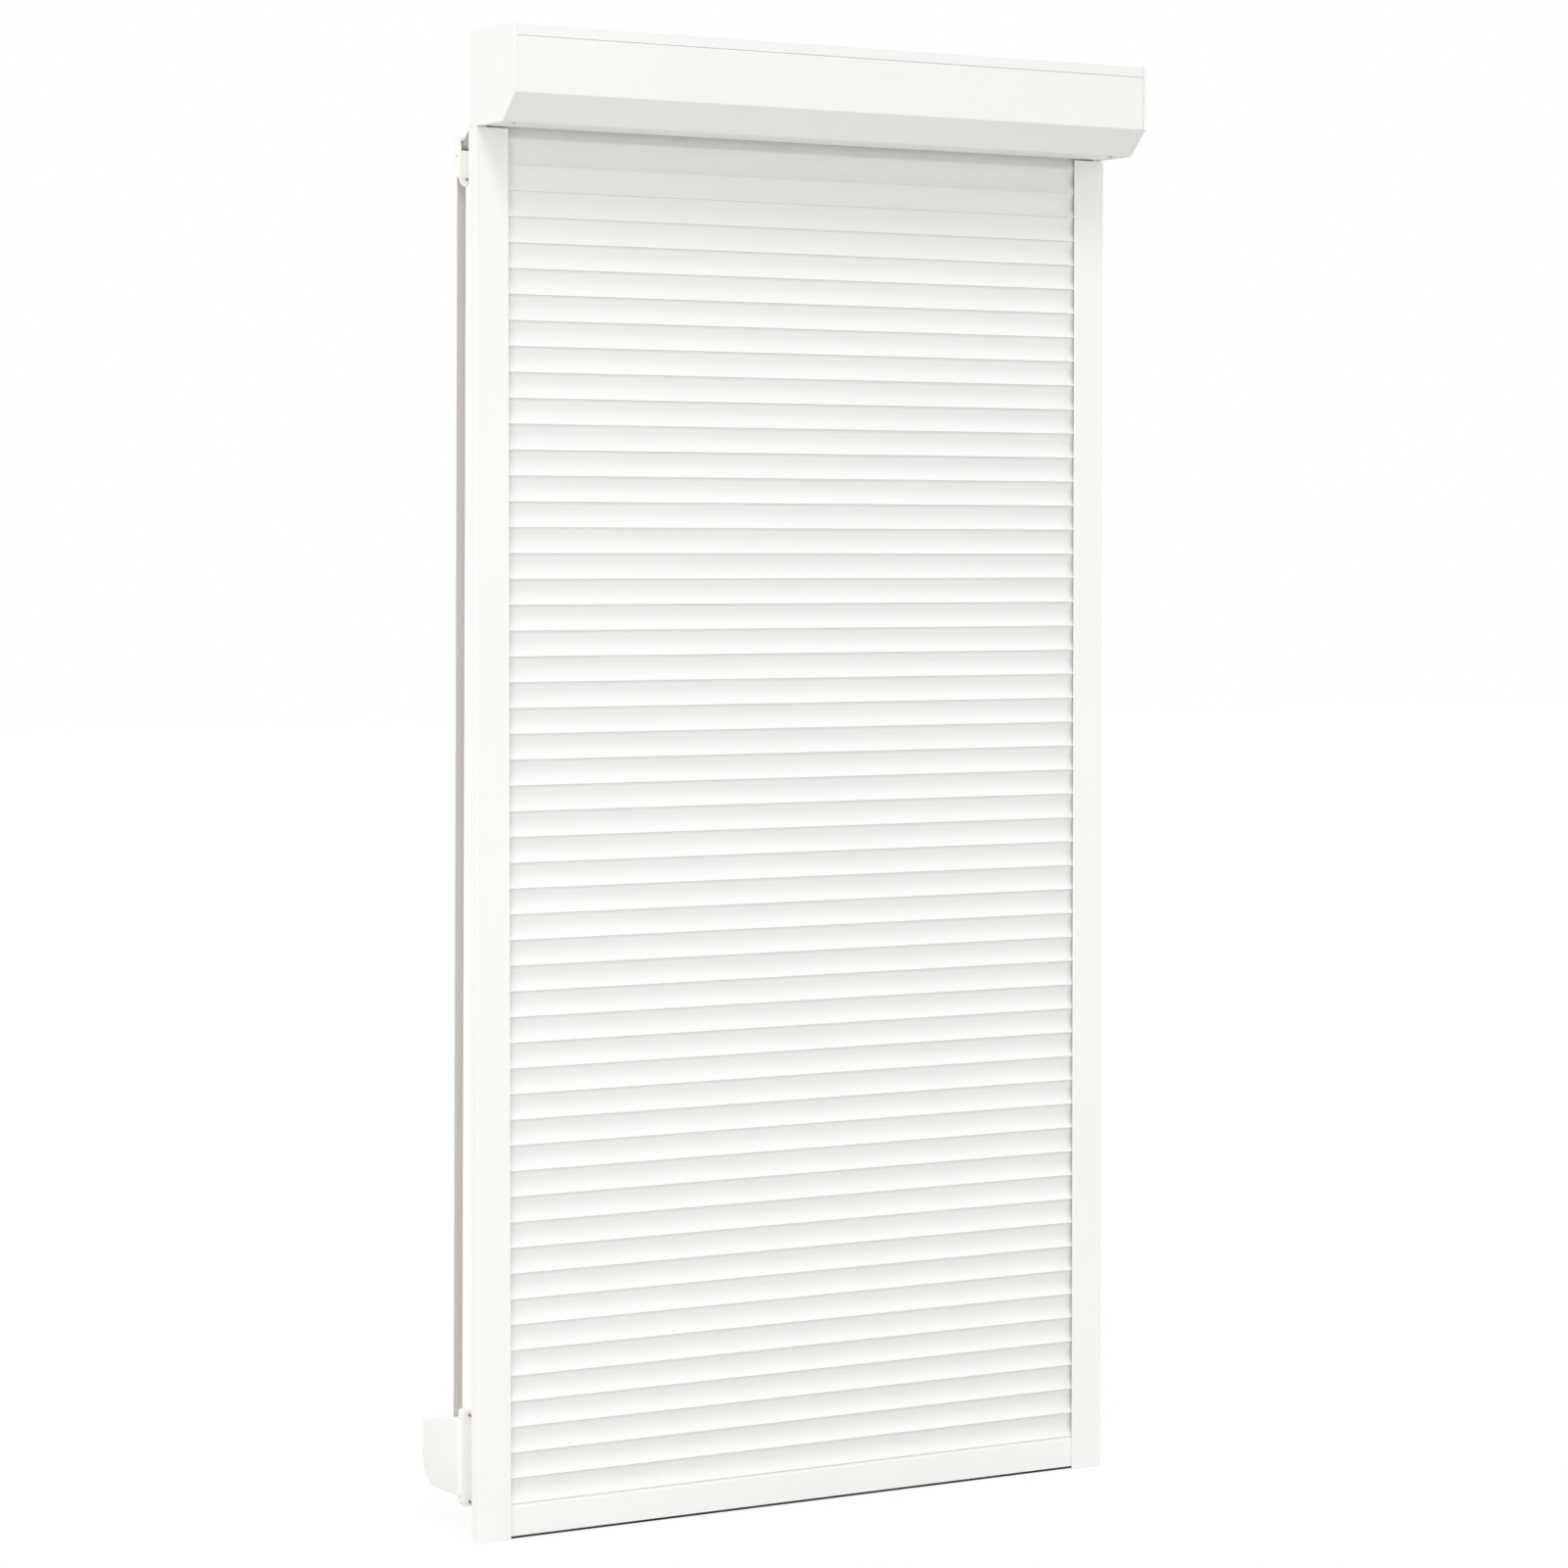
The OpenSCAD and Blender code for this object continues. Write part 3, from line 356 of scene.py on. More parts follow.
class Shape(Graph):
    """Geometry Nodes tree with named inputs, turned into a plain mesh for each piece."""

    def __init__(self, name: str) -> None:
        """Starts a tree with its geometry sockets and its material.

        Args:
            name: The tree's name.
        """
        super().__init__(bpy.data.node_groups.new(name, "GeometryNodeTree"))
        self.sockets: dict[str, str] = {}
        for way in ("INPUT", "OUTPUT"):
            self.tree.interface.new_socket("Geometry", in_out=way, socket_type="NodeSocketGeometry")
        self.source = self.add("NodeGroupInput", {}, {})
        self.input("Material", Kind.MATERIAL)

    def input(self, name: str, kind: Kind) -> Value:
        """Adds a named input.

        Args:
            name: Its name.
            kind: What it holds.

        Returns:
            The input as a value.
        """
        socket = self.tree.interface.new_socket(name, in_out="INPUT", socket_type=kind.value)
        self.sockets[name] = socket.identifier
        return self.given(name)

    def given(self, name: str) -> Value:
        """An input that was added, or the geometry that the piece starts from."""
        return self.source[name]

    def end(self, geometry: Value) -> None:
        """Realizes the instances, sets the material and closes the tree.

        Args:
            geometry: The finished geometry.
        """
        real = self.add("GeometryNodeRealizeInstances", {}, {"Geometry": geometry})["Geometry"]
        inputs = {"Geometry": real, "Material": self.given("Material")}
        dressed = self.add("GeometryNodeSetMaterial", {}, inputs)["Geometry"]
        self.add("NodeGroupOutput", {}, {"Geometry": dressed})

    def make(self, name: str, start: Mesh, values: Mapping[str, Any]) -> Object:
        """Builds a piece.

        Args:
            name: The piece's name.
            start: Mesh that the tree starts from.
            values: The named inputs.

        Returns:
            An object with a plain mesh.
        """
        piece = add_object(name, start)
        modifier = piece.modifiers.new("shape", "NODES")
        modifier.node_group = self.tree
        for key, value in values.items():
            modifier[self.sockets[key]] = value
        graph = bpy.context.evaluated_depsgraph_get()
        solid = piece.evaluated_get(graph)
        mesh = bpy.data.meshes.new_from_object(solid, preserve_all_data_layers=True, depsgraph=graph)
        piece.modifiers.remove(modifier)
        piece.data = mesh
        LOG.info("%s: %d faces", name, len(mesh.polygons))
        return piece


# Outlines and meshes


def add_object(name: str, data: ID) -> Object:
    """Adds an object to the scene.

    Args:
        name: The object's name.
        data: Its mesh, light or camera.

    Returns:
        The object.
    """
    made = bpy.data.objects.new(name, data)
    bpy.context.scene.collection.objects.link(made)
    return made


def metres(points: Sequence[Point2]) -> list[Point2]:
    """Outline in metres from one in millimetres."""
    return [(first * MM, second * MM) for first, second in points]


def steps_from(start: float, end: float, steps: int) -> list[float]:
    """Evenly spaced values, both ends among them."""
    return [start + (end - start) * i / steps for i in range(steps + 1)]


def arc(centre: Point2, radius: float, start: float, end: float, steps: int) -> list[Point2]:
    """Points of an arc.

    Args:
        centre: Its centre.
        radius: Its radius.
        start: First angle in degrees.
        end: Last angle in degrees.
        steps: Number of steps.

    Returns:
        The points, both ends among them.
    """
    angles = [math.radians(angle) for angle in steps_from(start, end, steps)]
    return [(centre[0] + radius * math.cos(a), centre[1] + radius * math.sin(a)) for a in angles]


def ring(centre: Point2, radius: float, count: int) -> list[Point2]:
    """Points of a whole circle, each of them once."""
    return arc(centre, radius, 0.0, 360.0 - 360.0 / count, count - 1)


def filleted(corners: Sequence[Point3], steps: int) -> list[Point2]:
    """Closed outline with rounded corners.

    Args:
        corners: Corners in order, each as two coordinates and a radius.
        steps: Number of steps in each round.

    Returns:
        The outline's points.
    """
    points = []
    for i, (first, second, radius) in enumerate(corners):
        spot = Vector((first, second))
        if radius == 0.0:
            points.append((first, second))
            continue
        before = (Vector(corners[i - 1][:2]) - spot).normalized()
        after = (Vector(corners[(i + 1) % len(corners)][:2]) - spot).normalized()
        half = before.angle(after) / 2
        centre = spot + (before + after).normalized() * (radius / math.sin(half))
        start = (spot + before * (radius / math.tan(half)) - centre).normalized()
        end = (spot + after * (radius / math.tan(half)) - centre).normalized()
        points += [tuple(centre + start.slerp(end, k / steps) * radius) for k in range(steps + 1)]
    return points


def loose_mesh(name: str, points: Sequence[Vector], chain: bool) -> Mesh:
    """Mesh of points, joined into a chain or left apart.

    Args:
        name: The mesh's name.
        points: Places in metres.
        chain: True to join each point to the next.

    Returns:
        The mesh.
    """
    mesh = bpy.data.meshes.new(name)
    edges = [(i, i + 1) for i in range(len(points) - 1)] if chain else []
    mesh.from_pydata([tuple(point) for point in points], edges, [])
    return mesh


def smoothed(mesh: Mesh) -> Mesh:
    """Mesh with smooth shading and its sharp edges marked.

    Args:
        mesh: The mesh, which is changed.

    Returns:
        The same mesh.
    """
    mesh.shade_smooth()
    mesh.set_sharp_from_angle(angle=SHARP_ANGLE)
    return mesh


def bar_mesh(name: str, outline: Sequence[Point2], x0: float, x1: float) -> Mesh:
    """Straight bar along X with a closed section.

    Args:
        name: The mesh's name.
        outline: Section as (y, z) in metres.
        x0: Left end.
        x1: Right end.

    Returns:
        The mesh, with its normals outwards and its sharp edges marked.
    """
    work = bmesh.new()
    ends = [[work.verts.new((x, y, z)) for y, z in outline] for x in (x0, x1)]
    count = len(outline)
    for i in range(count):
        j = (i + 1) % count
        work.faces.new((ends[0][i], ends[0][j], ends[1][j], ends[1][i]))
    for end in ends:
        work.faces.new(end)
    bmesh.ops.recalc_face_normals(work, faces=work.faces)
    mesh = bpy.data.meshes.new(name)
    work.to_mesh(mesh)
    work.free()
    return smoothed(mesh)


def cut_solid(name: str, base: Mesh, tools: Sequence[tuple[Cut, Mesh]]) -> Mesh:
    """Solid cut by others.

    Args:
        name: The new mesh's name.
        base: Solid to start from.
        tools: Cut and solid of each step.

    Returns:
        The mesh.
    """
    work = add_object(name, base)
    helpers = []
    for cut, tool in tools:
        helper = add_object(tool.name, tool)
        helpers.append(helper)
        modifier = work.modifiers.new(cut.value, "BOOLEAN")
        modifier.operation = cut.value
        modifier.solver = "EXACT"
        modifier.object = helper
    graph = bpy.context.evaluated_depsgraph_get()
    mesh = bpy.data.meshes.new_from_object(work.evaluated_get(graph), depsgraph=graph)
    for item in (work, *helpers):
        bpy.data.objects.remove(item)
    mesh.name = name
    return mesh


# Finishes


@dataclass(frozen=True, kw_only=True)
class Finish:
    """Finish whose colour drifts in clouds, with a fine relief whose depth is in metres."""

    name: str
    colour: Colour
    shade: float = 1.0
    clouds: Pattern
    cloud_range: Point2 = (0.3, 0.7)
    relief: Pattern
    relief_strength: float
    relief_depth: float
    roughness: float
    roughness_span: float
    specular: float = 0.5
    metallic: float = 0.0

    def tones(self) -> tuple[Colour, Colour]:
        """Colours at both ends of the clouds."""
        return tuple(part * self.shade for part in self.colour), self.colour

    def wear(self, clouds: Value, relief: Value) -> Value:
        """The pattern that varies the roughness."""
        return relief

    def material(self) -> Material:
        """Builds the finish.

        Returns:
            Its material.
        """
        surface = Surface(self.name)
        clouds = surface.noise(self.clouds)
        relief = surface.noise(self.relief)
        return surface.principled({
            "Base Color": surface.blend(clouds.between(*self.cloud_range), *self.tones()),
            "Metallic": self.metallic,
            "Roughness": self.wear(clouds, relief).around(self.roughness, self.roughness_span),
            "Normal": surface.bump(relief, self.relief_strength, self.relief_depth),
            "Specular IOR Level": self.specular,
        })


@dataclass(frozen=True, kw_only=True)
class PowderCoat(Finish):
    """Satin white coat on folded sheet and extrusions, with a fine orange peel."""

    name: str = "white_powder_coat"
    colour: Colour = (0.9, 0.898, 0.884)
    shade: float = 0.975
    clouds: Pattern = Pattern(2.4, 3.0)
    relief: Pattern = Pattern(620.0)
    relief_strength: float = 0.25
    relief_depth: float = 0.00006
    roughness: float = 0.42
    roughness_span: float = 0.12
    specular: float = 0.35


@dataclass(frozen=True, kw_only=True)
class SlatLacquer(Finish):
    """Baked lacquer on roll-formed slats, with faint lines along the rolling."""

    name: str = "white_slat_lacquer"
    colour: Colour = (0.878, 0.876, 0.864)
    shade: float = 0.978
    clouds: Pattern = Pattern(3.0, 2.0, (0.3, 1.0, 4.0))
    relief: Pattern = Pattern(1.0, 3.0, (0.6, 900.0, 900.0))
    relief_strength: float = 0.12
    relief_depth: float = 0.00004
    roughness: float = 0.41
    roughness_span: float = 0.14
    specular: float = 0.35


@dataclass(frozen=True, kw_only=True)
class MouldedPlastic(Finish):
    """Moulded plastic with a fine eroded grain."""

    shade: float = 0.96
    clouds: Pattern = Pattern(14.0)
    relief: Pattern = Pattern(1800.0)
    relief_strength: float = 0.3
    relief_depth: float = 0.00004
    roughness: float = 0.45
    roughness_span: float = 0.18
    specular: float = 0.4


@dataclass(frozen=True, kw_only=True)
class PlatedMetal(Finish):
    """Plated steel or brass with drawing marks and a slightly clouded plating."""

    dull: Colour
    clouds: Pattern = Pattern(260.0, 3.0)
    cloud_range: Point2 = (0.35, 0.65)
    relief: Pattern = Pattern(1.0, 3.0, (20.0, 500.0, 500.0))
    relief_strength: float = 0.2
    relief_depth: float = 0.00003
    roughness: float = 0.3
    roughness_span: float = 0.2
    metallic: float = 1.0

    def tones(self) -> tuple[Colour, Colour]:
        """Dull and bright plating."""
        return self.dull, self.colour


@dataclass(frozen=True)
class WovenStrap:
    """Woven strap: cords along its length, with fine picks across them, in metres."""

    name: str = "strap_webbing"
    # Colour on the weave's crests, and a darker colour in its grooves, which is painted shade
    light: Colour = (0.695, 0.642, 0.594)
    dark: Colour = (0.463, 0.425, 0.394)
    cords: int = 9
    pick: float = 0.0016
    pick_shift: float = 1.5
    pick_share: float = 0.3
    weave_depth: float = 0.00025
    weave_strength: float = 0.7
    # Share of the colour set by the weave's relief: painted shade, darker in the grooves between cords and
    # picks
    weave_shade: float = 0.8
    fuzz: Pattern = Pattern(1500.0)
    fuzz_tone: float = 0.4
    tone_range: Point2 = (0.05, 0.95)
    roughness: float = 0.87
    roughness_span: float = 0.1
    sheen: float = 0.25
    sheen_roughness: float = 0.5
    specular: float = 0.15

    def material(self) -> Material:
        """Builds the finish.

        Returns:
            Its material.
        """
        surface = Surface(self.name)
        across = surface.attribute("across")
        along = surface.attribute("along")
        cords = (across * (math.tau * self.cords)).wave()
        shift = (across * (math.pi * self.cords)).sine() * self.pick_shift
        picks = (along * (math.tau / self.pick) + shift).wave()
        weave = cords * (1.0 - self.pick_share) + picks * self.pick_share
        fuzz = surface.noise(self.fuzz)
        excess = (self.weave_shade + self.fuzz_tone - 1.0) / 2
        # Painted shade in the weave's grooves, mixed with the yarn's own random fuzz tone
        groove_shade_and_fuzz = weave * self.weave_shade + fuzz * self.fuzz_tone - excess
        return surface.principled({
            "Base Color": surface.blend(groove_shade_and_fuzz.between(*self.tone_range), self.dark, self.light),
            "Roughness": fuzz.around(self.roughness, self.roughness_span),
            "Normal": surface.bump(weave, self.weave_strength, self.weave_depth),
            "Sheen Weight": self.sheen,
            "Sheen Roughness": self.sheen_roughness,
            "Specular IOR Level": self.specular,
        })


@dataclass(frozen=True, kw_only=True)
class Rubber(Finish):
    """Matt black rubber with a fine grain and a dusty bloom, which also varies its roughness."""

    name: str = "seal_rubber"
    colour: Colour = (0.018, 0.018, 0.018)
    bloom: Colour = (0.045, 0.044, 0.042)
    clouds: Pattern = Pattern(60.0, 4.0, (0.3, 1.0, 1.0))
    cloud_range: Point2 = (0.35, 0.75)
    relief: Pattern = Pattern(1200.0)
    relief_strength: float = 0.4
    relief_depth: float = 0.00005
    roughness: float = 0.725
    roughness_span: float = 0.15
    specular: float = 0.3

    def tones(self) -> tuple[Colour, Colour]:
        """Clean and dusty rubber."""
        return self.colour, self.bloom

    def wear(self, clouds: Value, relief: Value) -> Value:
        """The dust varies the roughness."""
        return clouds


@dataclass
class Finishes:
    """All materials, by the record's slots, with two more white ones for the slats and the extrusions."""

    slats: Material = field(init=False)
    extrusions: Material = field(init=False)
    by_slot: dict[Slot, Material] = field(init=False)

    def __post_init__(self) -> None:
        """Builds every material once."""
        self.slats = SlatLacquer().material()
        extrusion = PowderCoat(name="white_extrusion_coat", colour=(0.928, 0.926, 0.911))
        self.extrusions = extrusion.material()
        caps = MouldedPlastic(name="white_moulded_caps", colour=(0.925, 0.923, 0.908), roughness=0.4)
        fittings = MouldedPlastic(name="cream_fittings", colour=(0.938, 0.936, 0.89))
        glides = MouldedPlastic(name="grey_glides", colour=(0.4, 0.4, 0.39), roughness=0.5)
        nylon = MouldedPlastic(name="black_nylon", colour=(0.03, 0.03, 0.03), roughness=0.5)
        steel = PlatedMetal(
            name="zinc_plated_steel", colour=(0.62, 0.63, 0.65), dull=(0.48, 0.49, 0.51), roughness=0.36,
        )
        brass = PlatedMetal(
            name="yellow_plated_screws", colour=(0.62, 0.45, 0.19), dull=(0.45, 0.31, 0.12),
            relief=Pattern(1.0, 3.0, (500.0, 30.0, 500.0)),
        )
        finishes = {
            Slot.WHITE_COAT: PowderCoat(),
            Slot.CAP_WHITE: caps,
            Slot.CREAM_PLASTIC: fittings,
            Slot.GLIDE_PLASTIC: glides,
            Slot.BLACK_PLASTIC: nylon,
            Slot.ZINC_STEEL: steel,
            Slot.BRASS: brass,
            Slot.WEBBING: WovenStrap(),
            Slot.SEAL_RUBBER: Rubber(),
        }
        self.by_slot = {slot: finish.material() for slot, finish in finishes.items()}

    def __getitem__(self, slot: Slot) -> Material:
        """Material of a slot."""
        return self.by_slot[slot]


# Sub-assemblies


@dataclass
class Casing:
    """Box, rails and the other rigid nodes, which keep their solids."""

    finishes: Finishes
    extrusions: tuple[str, ...] = ("guide_rail_left", "guide_rail_right", "bottom_bar")

    def dress(self) -> None:
        """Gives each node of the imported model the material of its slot."""
        for part in frame["record"]["subparts"]:
            mesh = frame["nodes"][part["node"]].data
            coat = self.finishes[Slot(part["material_slot"])]
            mesh.materials.clear()
            mesh.materials.append(self.finishes.extrusions if part["node"] in self.extrusions else coat)


@dataclass
class Curtain:
    """Interlocking slats with the locks on their ends, in millimetres, with the front at negative u."""

    finishes: Finishes
    pitch: float = 37.0
    count: int = 54
    half_length: float = 515.0
    line_y: float = -14.0
    base_z: float = -961.3
    lip: float = 5.2
    lip_edge: float = 0.4
    lip_break: float = 0.25
    back: float = 4.0
    hollow_v: float = 18.5
    lean: float = 12.0
    back_radius: float = 148.0
    joint_gap: float = 0.1
    tongue_u: float = 0.4
    tongue_half: float = 0.7
    tongue_height: float = 4.5
    bulb_radius: float = 1.2
    slot_half: float = 1.1
    hook_radius: float = 1.8
    clip_thickness: float = 1.2
    clip_edge: float = 1.0
    clip_low: float = 9.0
    clip_drop: float = 3.0
    clip_every: int = 2
    travel: float = 1960.0
    front_steps: int = 24
    back_steps: int = 12
    hook_steps: int = 12
    bulb_steps: int = 8
    clip_steps: int = 12

    @property
    def height(self) -> float:
        """Height of all the slats."""
        return self.count * self.pitch

    @property
    def face_radius(self) -> float:
        """Radius of the hollow front face, which ends in the lower lip."""
        reach = self.lip + self.lip_edge
        return (reach**2 + self.hollow_v**2) / (2 * reach)

    def front_u(self, v: float, inset: float = 0.0) -> float:
        """Depth of the front at a height above the slat's lower edge.

        Args:
            v: Height in millimetres.
            inset: Distance behind the face.

        Returns:
            Depth on the hollow round, or above it on the straight part that leans out.
        """
        radius, lean = self.face_radius + inset, math.radians(self.lean)
        rise = v - self.hollow_v - radius * math.sin(lean)
        if rise > 0:
            return radius * math.cos(lean) - self.face_radius - rise * math.tan(lean)
        return math.sqrt(radius**2 - (v - self.hollow_v) ** 2) - self.face_radius

    def back_u(self, v: float, inset: float = 0.0) -> float:
        """Depth of the bowed back at a height above the slat's lower edge."""
        rise = v - self.hollow_v
        return self.back - self.back_radius + math.sqrt((self.back_radius - inset) ** 2 - rise**2)

    def section(self) -> list[Point2]:
        """Outline of a slat with its hook below and its tongue above.

        Returns:
            Points (u, v) in millimetres.
        """
        shoulder = self.pitch - self.joint_gap
        hook = (self.tongue_u, self.tongue_height + self.joint_gap / 2)
        mouth = math.degrees(math.asin(self.slot_half / self.hook_radius))
        bulb = (self.tongue_u, shoulder + self.joint_gap / 2 + self.tongue_height)
        neck = math.degrees(math.asin(self.tongue_half / self.bulb_radius))
        edge = self.hollow_v - math.sqrt(self.lip * (2 * self.face_radius - self.lip))
        return [
            (self.back_u(0.0), 0.0),
            (self.tongue_u + self.slot_half, 0.0),
            *arc(hook, self.hook_radius, mouth - 90, 270 - mouth, self.hook_steps),
            (self.tongue_u - self.slot_half, 0.0),
            (self.lip_break - self.lip, 0.0),
            (-self.lip, self.lip_break),
            *[(self.front_u(v), v) for v in steps_from(edge, shoulder, self.front_steps)],
            (self.tongue_u - self.tongue_half, shoulder),
            *arc(bulb, self.bulb_radius, 270 - neck, neck - 90, self.bulb_steps),
            (self.tongue_u + self.tongue_half, shoulder),
            *[(self.back_u(v), v) for v in reversed(steps_from(0.0, shoulder, self.back_steps)[1:])],
        ]

    def placed(self, outline: Sequence[Point2]) -> list[Point2]:
        """Section at the lowest slat, in metres."""
        return metres([(self.line_y + u, self.base_z + v) for u, v in outline])

    @staticmethod
    def stack() -> Shape:
        """Tree that repeats its start upwards.

        Returns:
            The tree, with a count and a rise.
        """
        shape = Shape("slat_stack")
        count = shape.input("Count", Kind.COUNT)
        rise = shape.input("Rise", Kind.NUMBER)
        offset = shape.add("ShaderNodeCombineXYZ", {}, {"Z": rise})["Vector"]
        inputs = {"Count": count, "Offset": offset}
        line = shape.add("GeometryNodeMeshLine", {"mode": "OFFSET"}, inputs)["Mesh"]
        inputs = {"Points": line, "Instance": shape.given("Geometry")}
        shape.end(shape.add("GeometryNodeInstanceOnPoints", {}, inputs)["Instances"])
        return shape

    def clip_mesh(self) -> Mesh:
        """Pair of end locks on the lowest slat.

        Returns:
            The mesh.
        """
        rises = steps_from(self.clip_low, self.pitch - self.clip_drop, self.clip_steps)
        outline = [(self.front_u(v, self.clip_edge), v) for v in rises]
        outline += [(self.back_u(v, self.clip_edge), v) for v in reversed(rises)]
        work = bmesh.new()
        for side in (-1.0, 1.0):
            ends = (side * self.half_length * MM, side * (self.half_length + self.clip_thickness) * MM)
            half = bar_mesh("clip_half", self.placed(outline), min(ends), max(ends))
            work.from_mesh(half)
            bpy.data.meshes.remove(half)
        mesh = bpy.data.meshes.new("clip_pair")
        work.to_mesh(mesh)
        work.free()
        return mesh

    def build(self) -> None:
        """Makes the slats and their locks, which shrink up into the box as the curtain lifts."""
        stack = self.stack()
        reach = self.half_length * MM
        slat = bar_mesh("slat", self.placed(self.section()), -reach, reach)
        slats = stack.make("slats", slat, {
            "Material": self.finishes.slats,
            "Count": self.count,
            "Rise": self.pitch * MM,
        })
        clips = stack.make("slat_locks", self.clip_mesh(), {
            "Material": self.finishes[Slot.CREAM_PLASTIC],
            "Count": self.count // self.clip_every,
            "Rise": self.clip_every * self.pitch * MM,
        })
        banks = [name for name in frame["nodes"] if name.startswith("slat_bank_")]
        for piece, nodes, slot in (
            (slats, banks, Slot.WHITE_COAT),
            (clips, ["slat_end_clips"], Slot.CREAM_PLASTIC),
        ):
            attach(piece, Body.CURTAIN.value)
            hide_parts(*nodes)
            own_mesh(piece)


@dataclass
class StrapDrive:
    """Strap from the pulley to the winder's reel, and the turns wound on both, in millimetres."""

    finishes: Finishes
    width: float = 14.0
    thickness: float = 1.2
    edge_round: float = 0.45
    edge_points: int = 2
    gap: float = 0.3
    wind_pitch: float = 1.7
    axis: Point2 = (-66.0, 1085.0)
    pulley_start: float = 39.3
    pulley_turns: int = 7
    lip: Point2 = (-0.5, 1023.0)
    lip_radius: float = 5.0
    roller: Point2 = (49.2, 977.0)
    roller_radius: float = 6.0
    reel: Point2 = (106.4, -901.0)
    reel_start: float = 21.3
    reel_turns: int = 3
    guide_low: float = 932.3
    straight_step: float = 15.0
    bend_steps: int = 10
    turn_steps: int = 40

    def rounds(self) -> list[tuple[Point2, float, int]]:
        """Rounds that the strap passes.

        Returns:
            Centre, radius to the strap's middle and side of each.
        """
        skin = self.gap + self.thickness / 2
        pulley = self.pulley_start + self.wind_pitch * self.pulley_turns + self.thickness
        reel = self.reel_start + self.wind_pitch * self.reel_turns + self.thickness
        return [
            (self.axis, pulley + skin, 1),
            (self.lip, self.lip_radius + skin, -1),
            (self.roller, self.roller_radius + skin, -1),
            (self.reel, reel + skin, 1),
        ]

    def headings(self) -> list[float]:
        """Directions of the straight stretches between the rounds.

        Returns:
            Angles in radians.
        """
        found = []
        rounds = self.rounds()
        for (c0, r0, s0), (c1, r1, s1) in zip(rounds, rounds[1:]):
            dy, dz = c1[0] - c0[0], c1[1] - c0[1]
            found.append(math.atan2(dz, dy) - math.asin((s1 * r1 - s0 * r0) / math.hypot(dy, dz)))
        return found

    def route(self) -> list[Point2]:
        """Middle line of the strap: straight stretches joined by arcs.

        Returns:
            Its points.
        """
        rounds, headings = self.rounds(), self.headings()

        def at(i: int, heading: float) -> Point2:
            """Point on a round where the strap has a heading."""
            (y, z), radius, side = rounds[i]
            return y + side * radius * math.sin(heading), z - side * radius * math.cos(heading)

        points = [at(0, headings[0])]
        for i, arrive in enumerate(headings, start=1):
            leave = headings[min(i, len(headings) - 1)]
            start, stop = points[-1], at(i, arrive)
            steps = max(1, round(math.dist(start, stop) / self.straight_step))
            for k in range(1, steps + 1):
                points.append(tuple(a + (b - a) * k / steps for a, b in zip(start, stop)))
            if leave != arrive:
                points += [at(i, a) for a in steps_from(arrive, leave, self.bend_steps)[1:]]
        return points

    def turns(self, centre: Point2, start: float, count: int, heading: float, way: int) -> list[Point2]:
        """Spiral of wound strap.

        Args:
            centre: Its centre.
            start: Radius inside the first turn.
            count: Number of turns.
            heading: Direction of the strap where it leaves, in radians.
            way: Sense of the winding.

        Returns:
            Its middle line.
        """
        points = []
        for i in range(count * self.turn_steps + 1):
            radius = start + self.thickness / 2 + self.wind_pitch * i / self.turn_steps
            angle = heading - math.pi / 2 + way * math.tau * i / self.turn_steps
            points.append((centre[0] + radius * math.cos(angle), centre[1] + radius * math.sin(angle)))
        return points

    def ribbon(self) -> Shape:
        """Tree that sweeps the strap's flat section along a line, and stores where each point lies on it.

        Returns:
            The tree, with a width and a thickness.
        """
        shape = Shape("woven_ribbon")
        width = shape.input("Width", Kind.NUMBER)
        thickness = shape.input("Thickness", Kind.NUMBER)
        line = shape.add("GeometryNodeMeshToCurve", {}, {"Mesh": shape.given("Geometry")})["Curve"]
        inputs = {"Curve": line, "Normal": (1.0, 0.0, 0.0)}
        line = shape.add("GeometryNodeSetCurveNormal", {"mode": "FREE"}, inputs)["Curve"]
        length = shape.add("GeometryNodeSplineParameter", {}, {})["Length"]
        inputs = {"Geometry": line, "along": length}
        path = shape.add("GeometryNodeCaptureAttribute", {"captures": ["along"]}, inputs)
        inputs = {"Width": width, "Height": thickness}
        flat = shape.add("GeometryNodeCurvePrimitiveQuadrilateral", {}, inputs)["Curve"]
        inputs = {"Curve": flat, "Count": self.edge_points, "Radius": thickness * self.edge_round}
        flat = shape.add("GeometryNodeFilletCurve", {"mode": "POLY"}, inputs)["Curve"]
        spot = shape.add("GeometryNodeInputPosition", {}, {})["Position"]
        side = shape.add("ShaderNodeSeparateXYZ", {}, {"Vector": spot})["X"]
        inputs = {"Geometry": flat, "across": side / width + 0.5}
        profile = shape.add("GeometryNodeCaptureAttribute", {"captures": ["across"]}, inputs)
        inputs = {"Curve": path["Geometry"], "Profile Curve": profile["Geometry"], "Fill Caps": True}
        mesh = shape.add("GeometryNodeCurveToMesh", {}, inputs)["Mesh"]
        for name, source in (("along", path), ("across", profile)):
            inputs = {"Geometry": mesh, "Name": name, "Value": source[name]}
            mesh = shape.add("GeometryNodeStoreNamedAttribute", {}, inputs)["Geometry"]
        inputs = {"Geometry": mesh, "Shade Smooth": True}
        shape.end(shape.add("GeometryNodeSetShadeSmooth", {}, inputs)["Geometry"])
        return shape

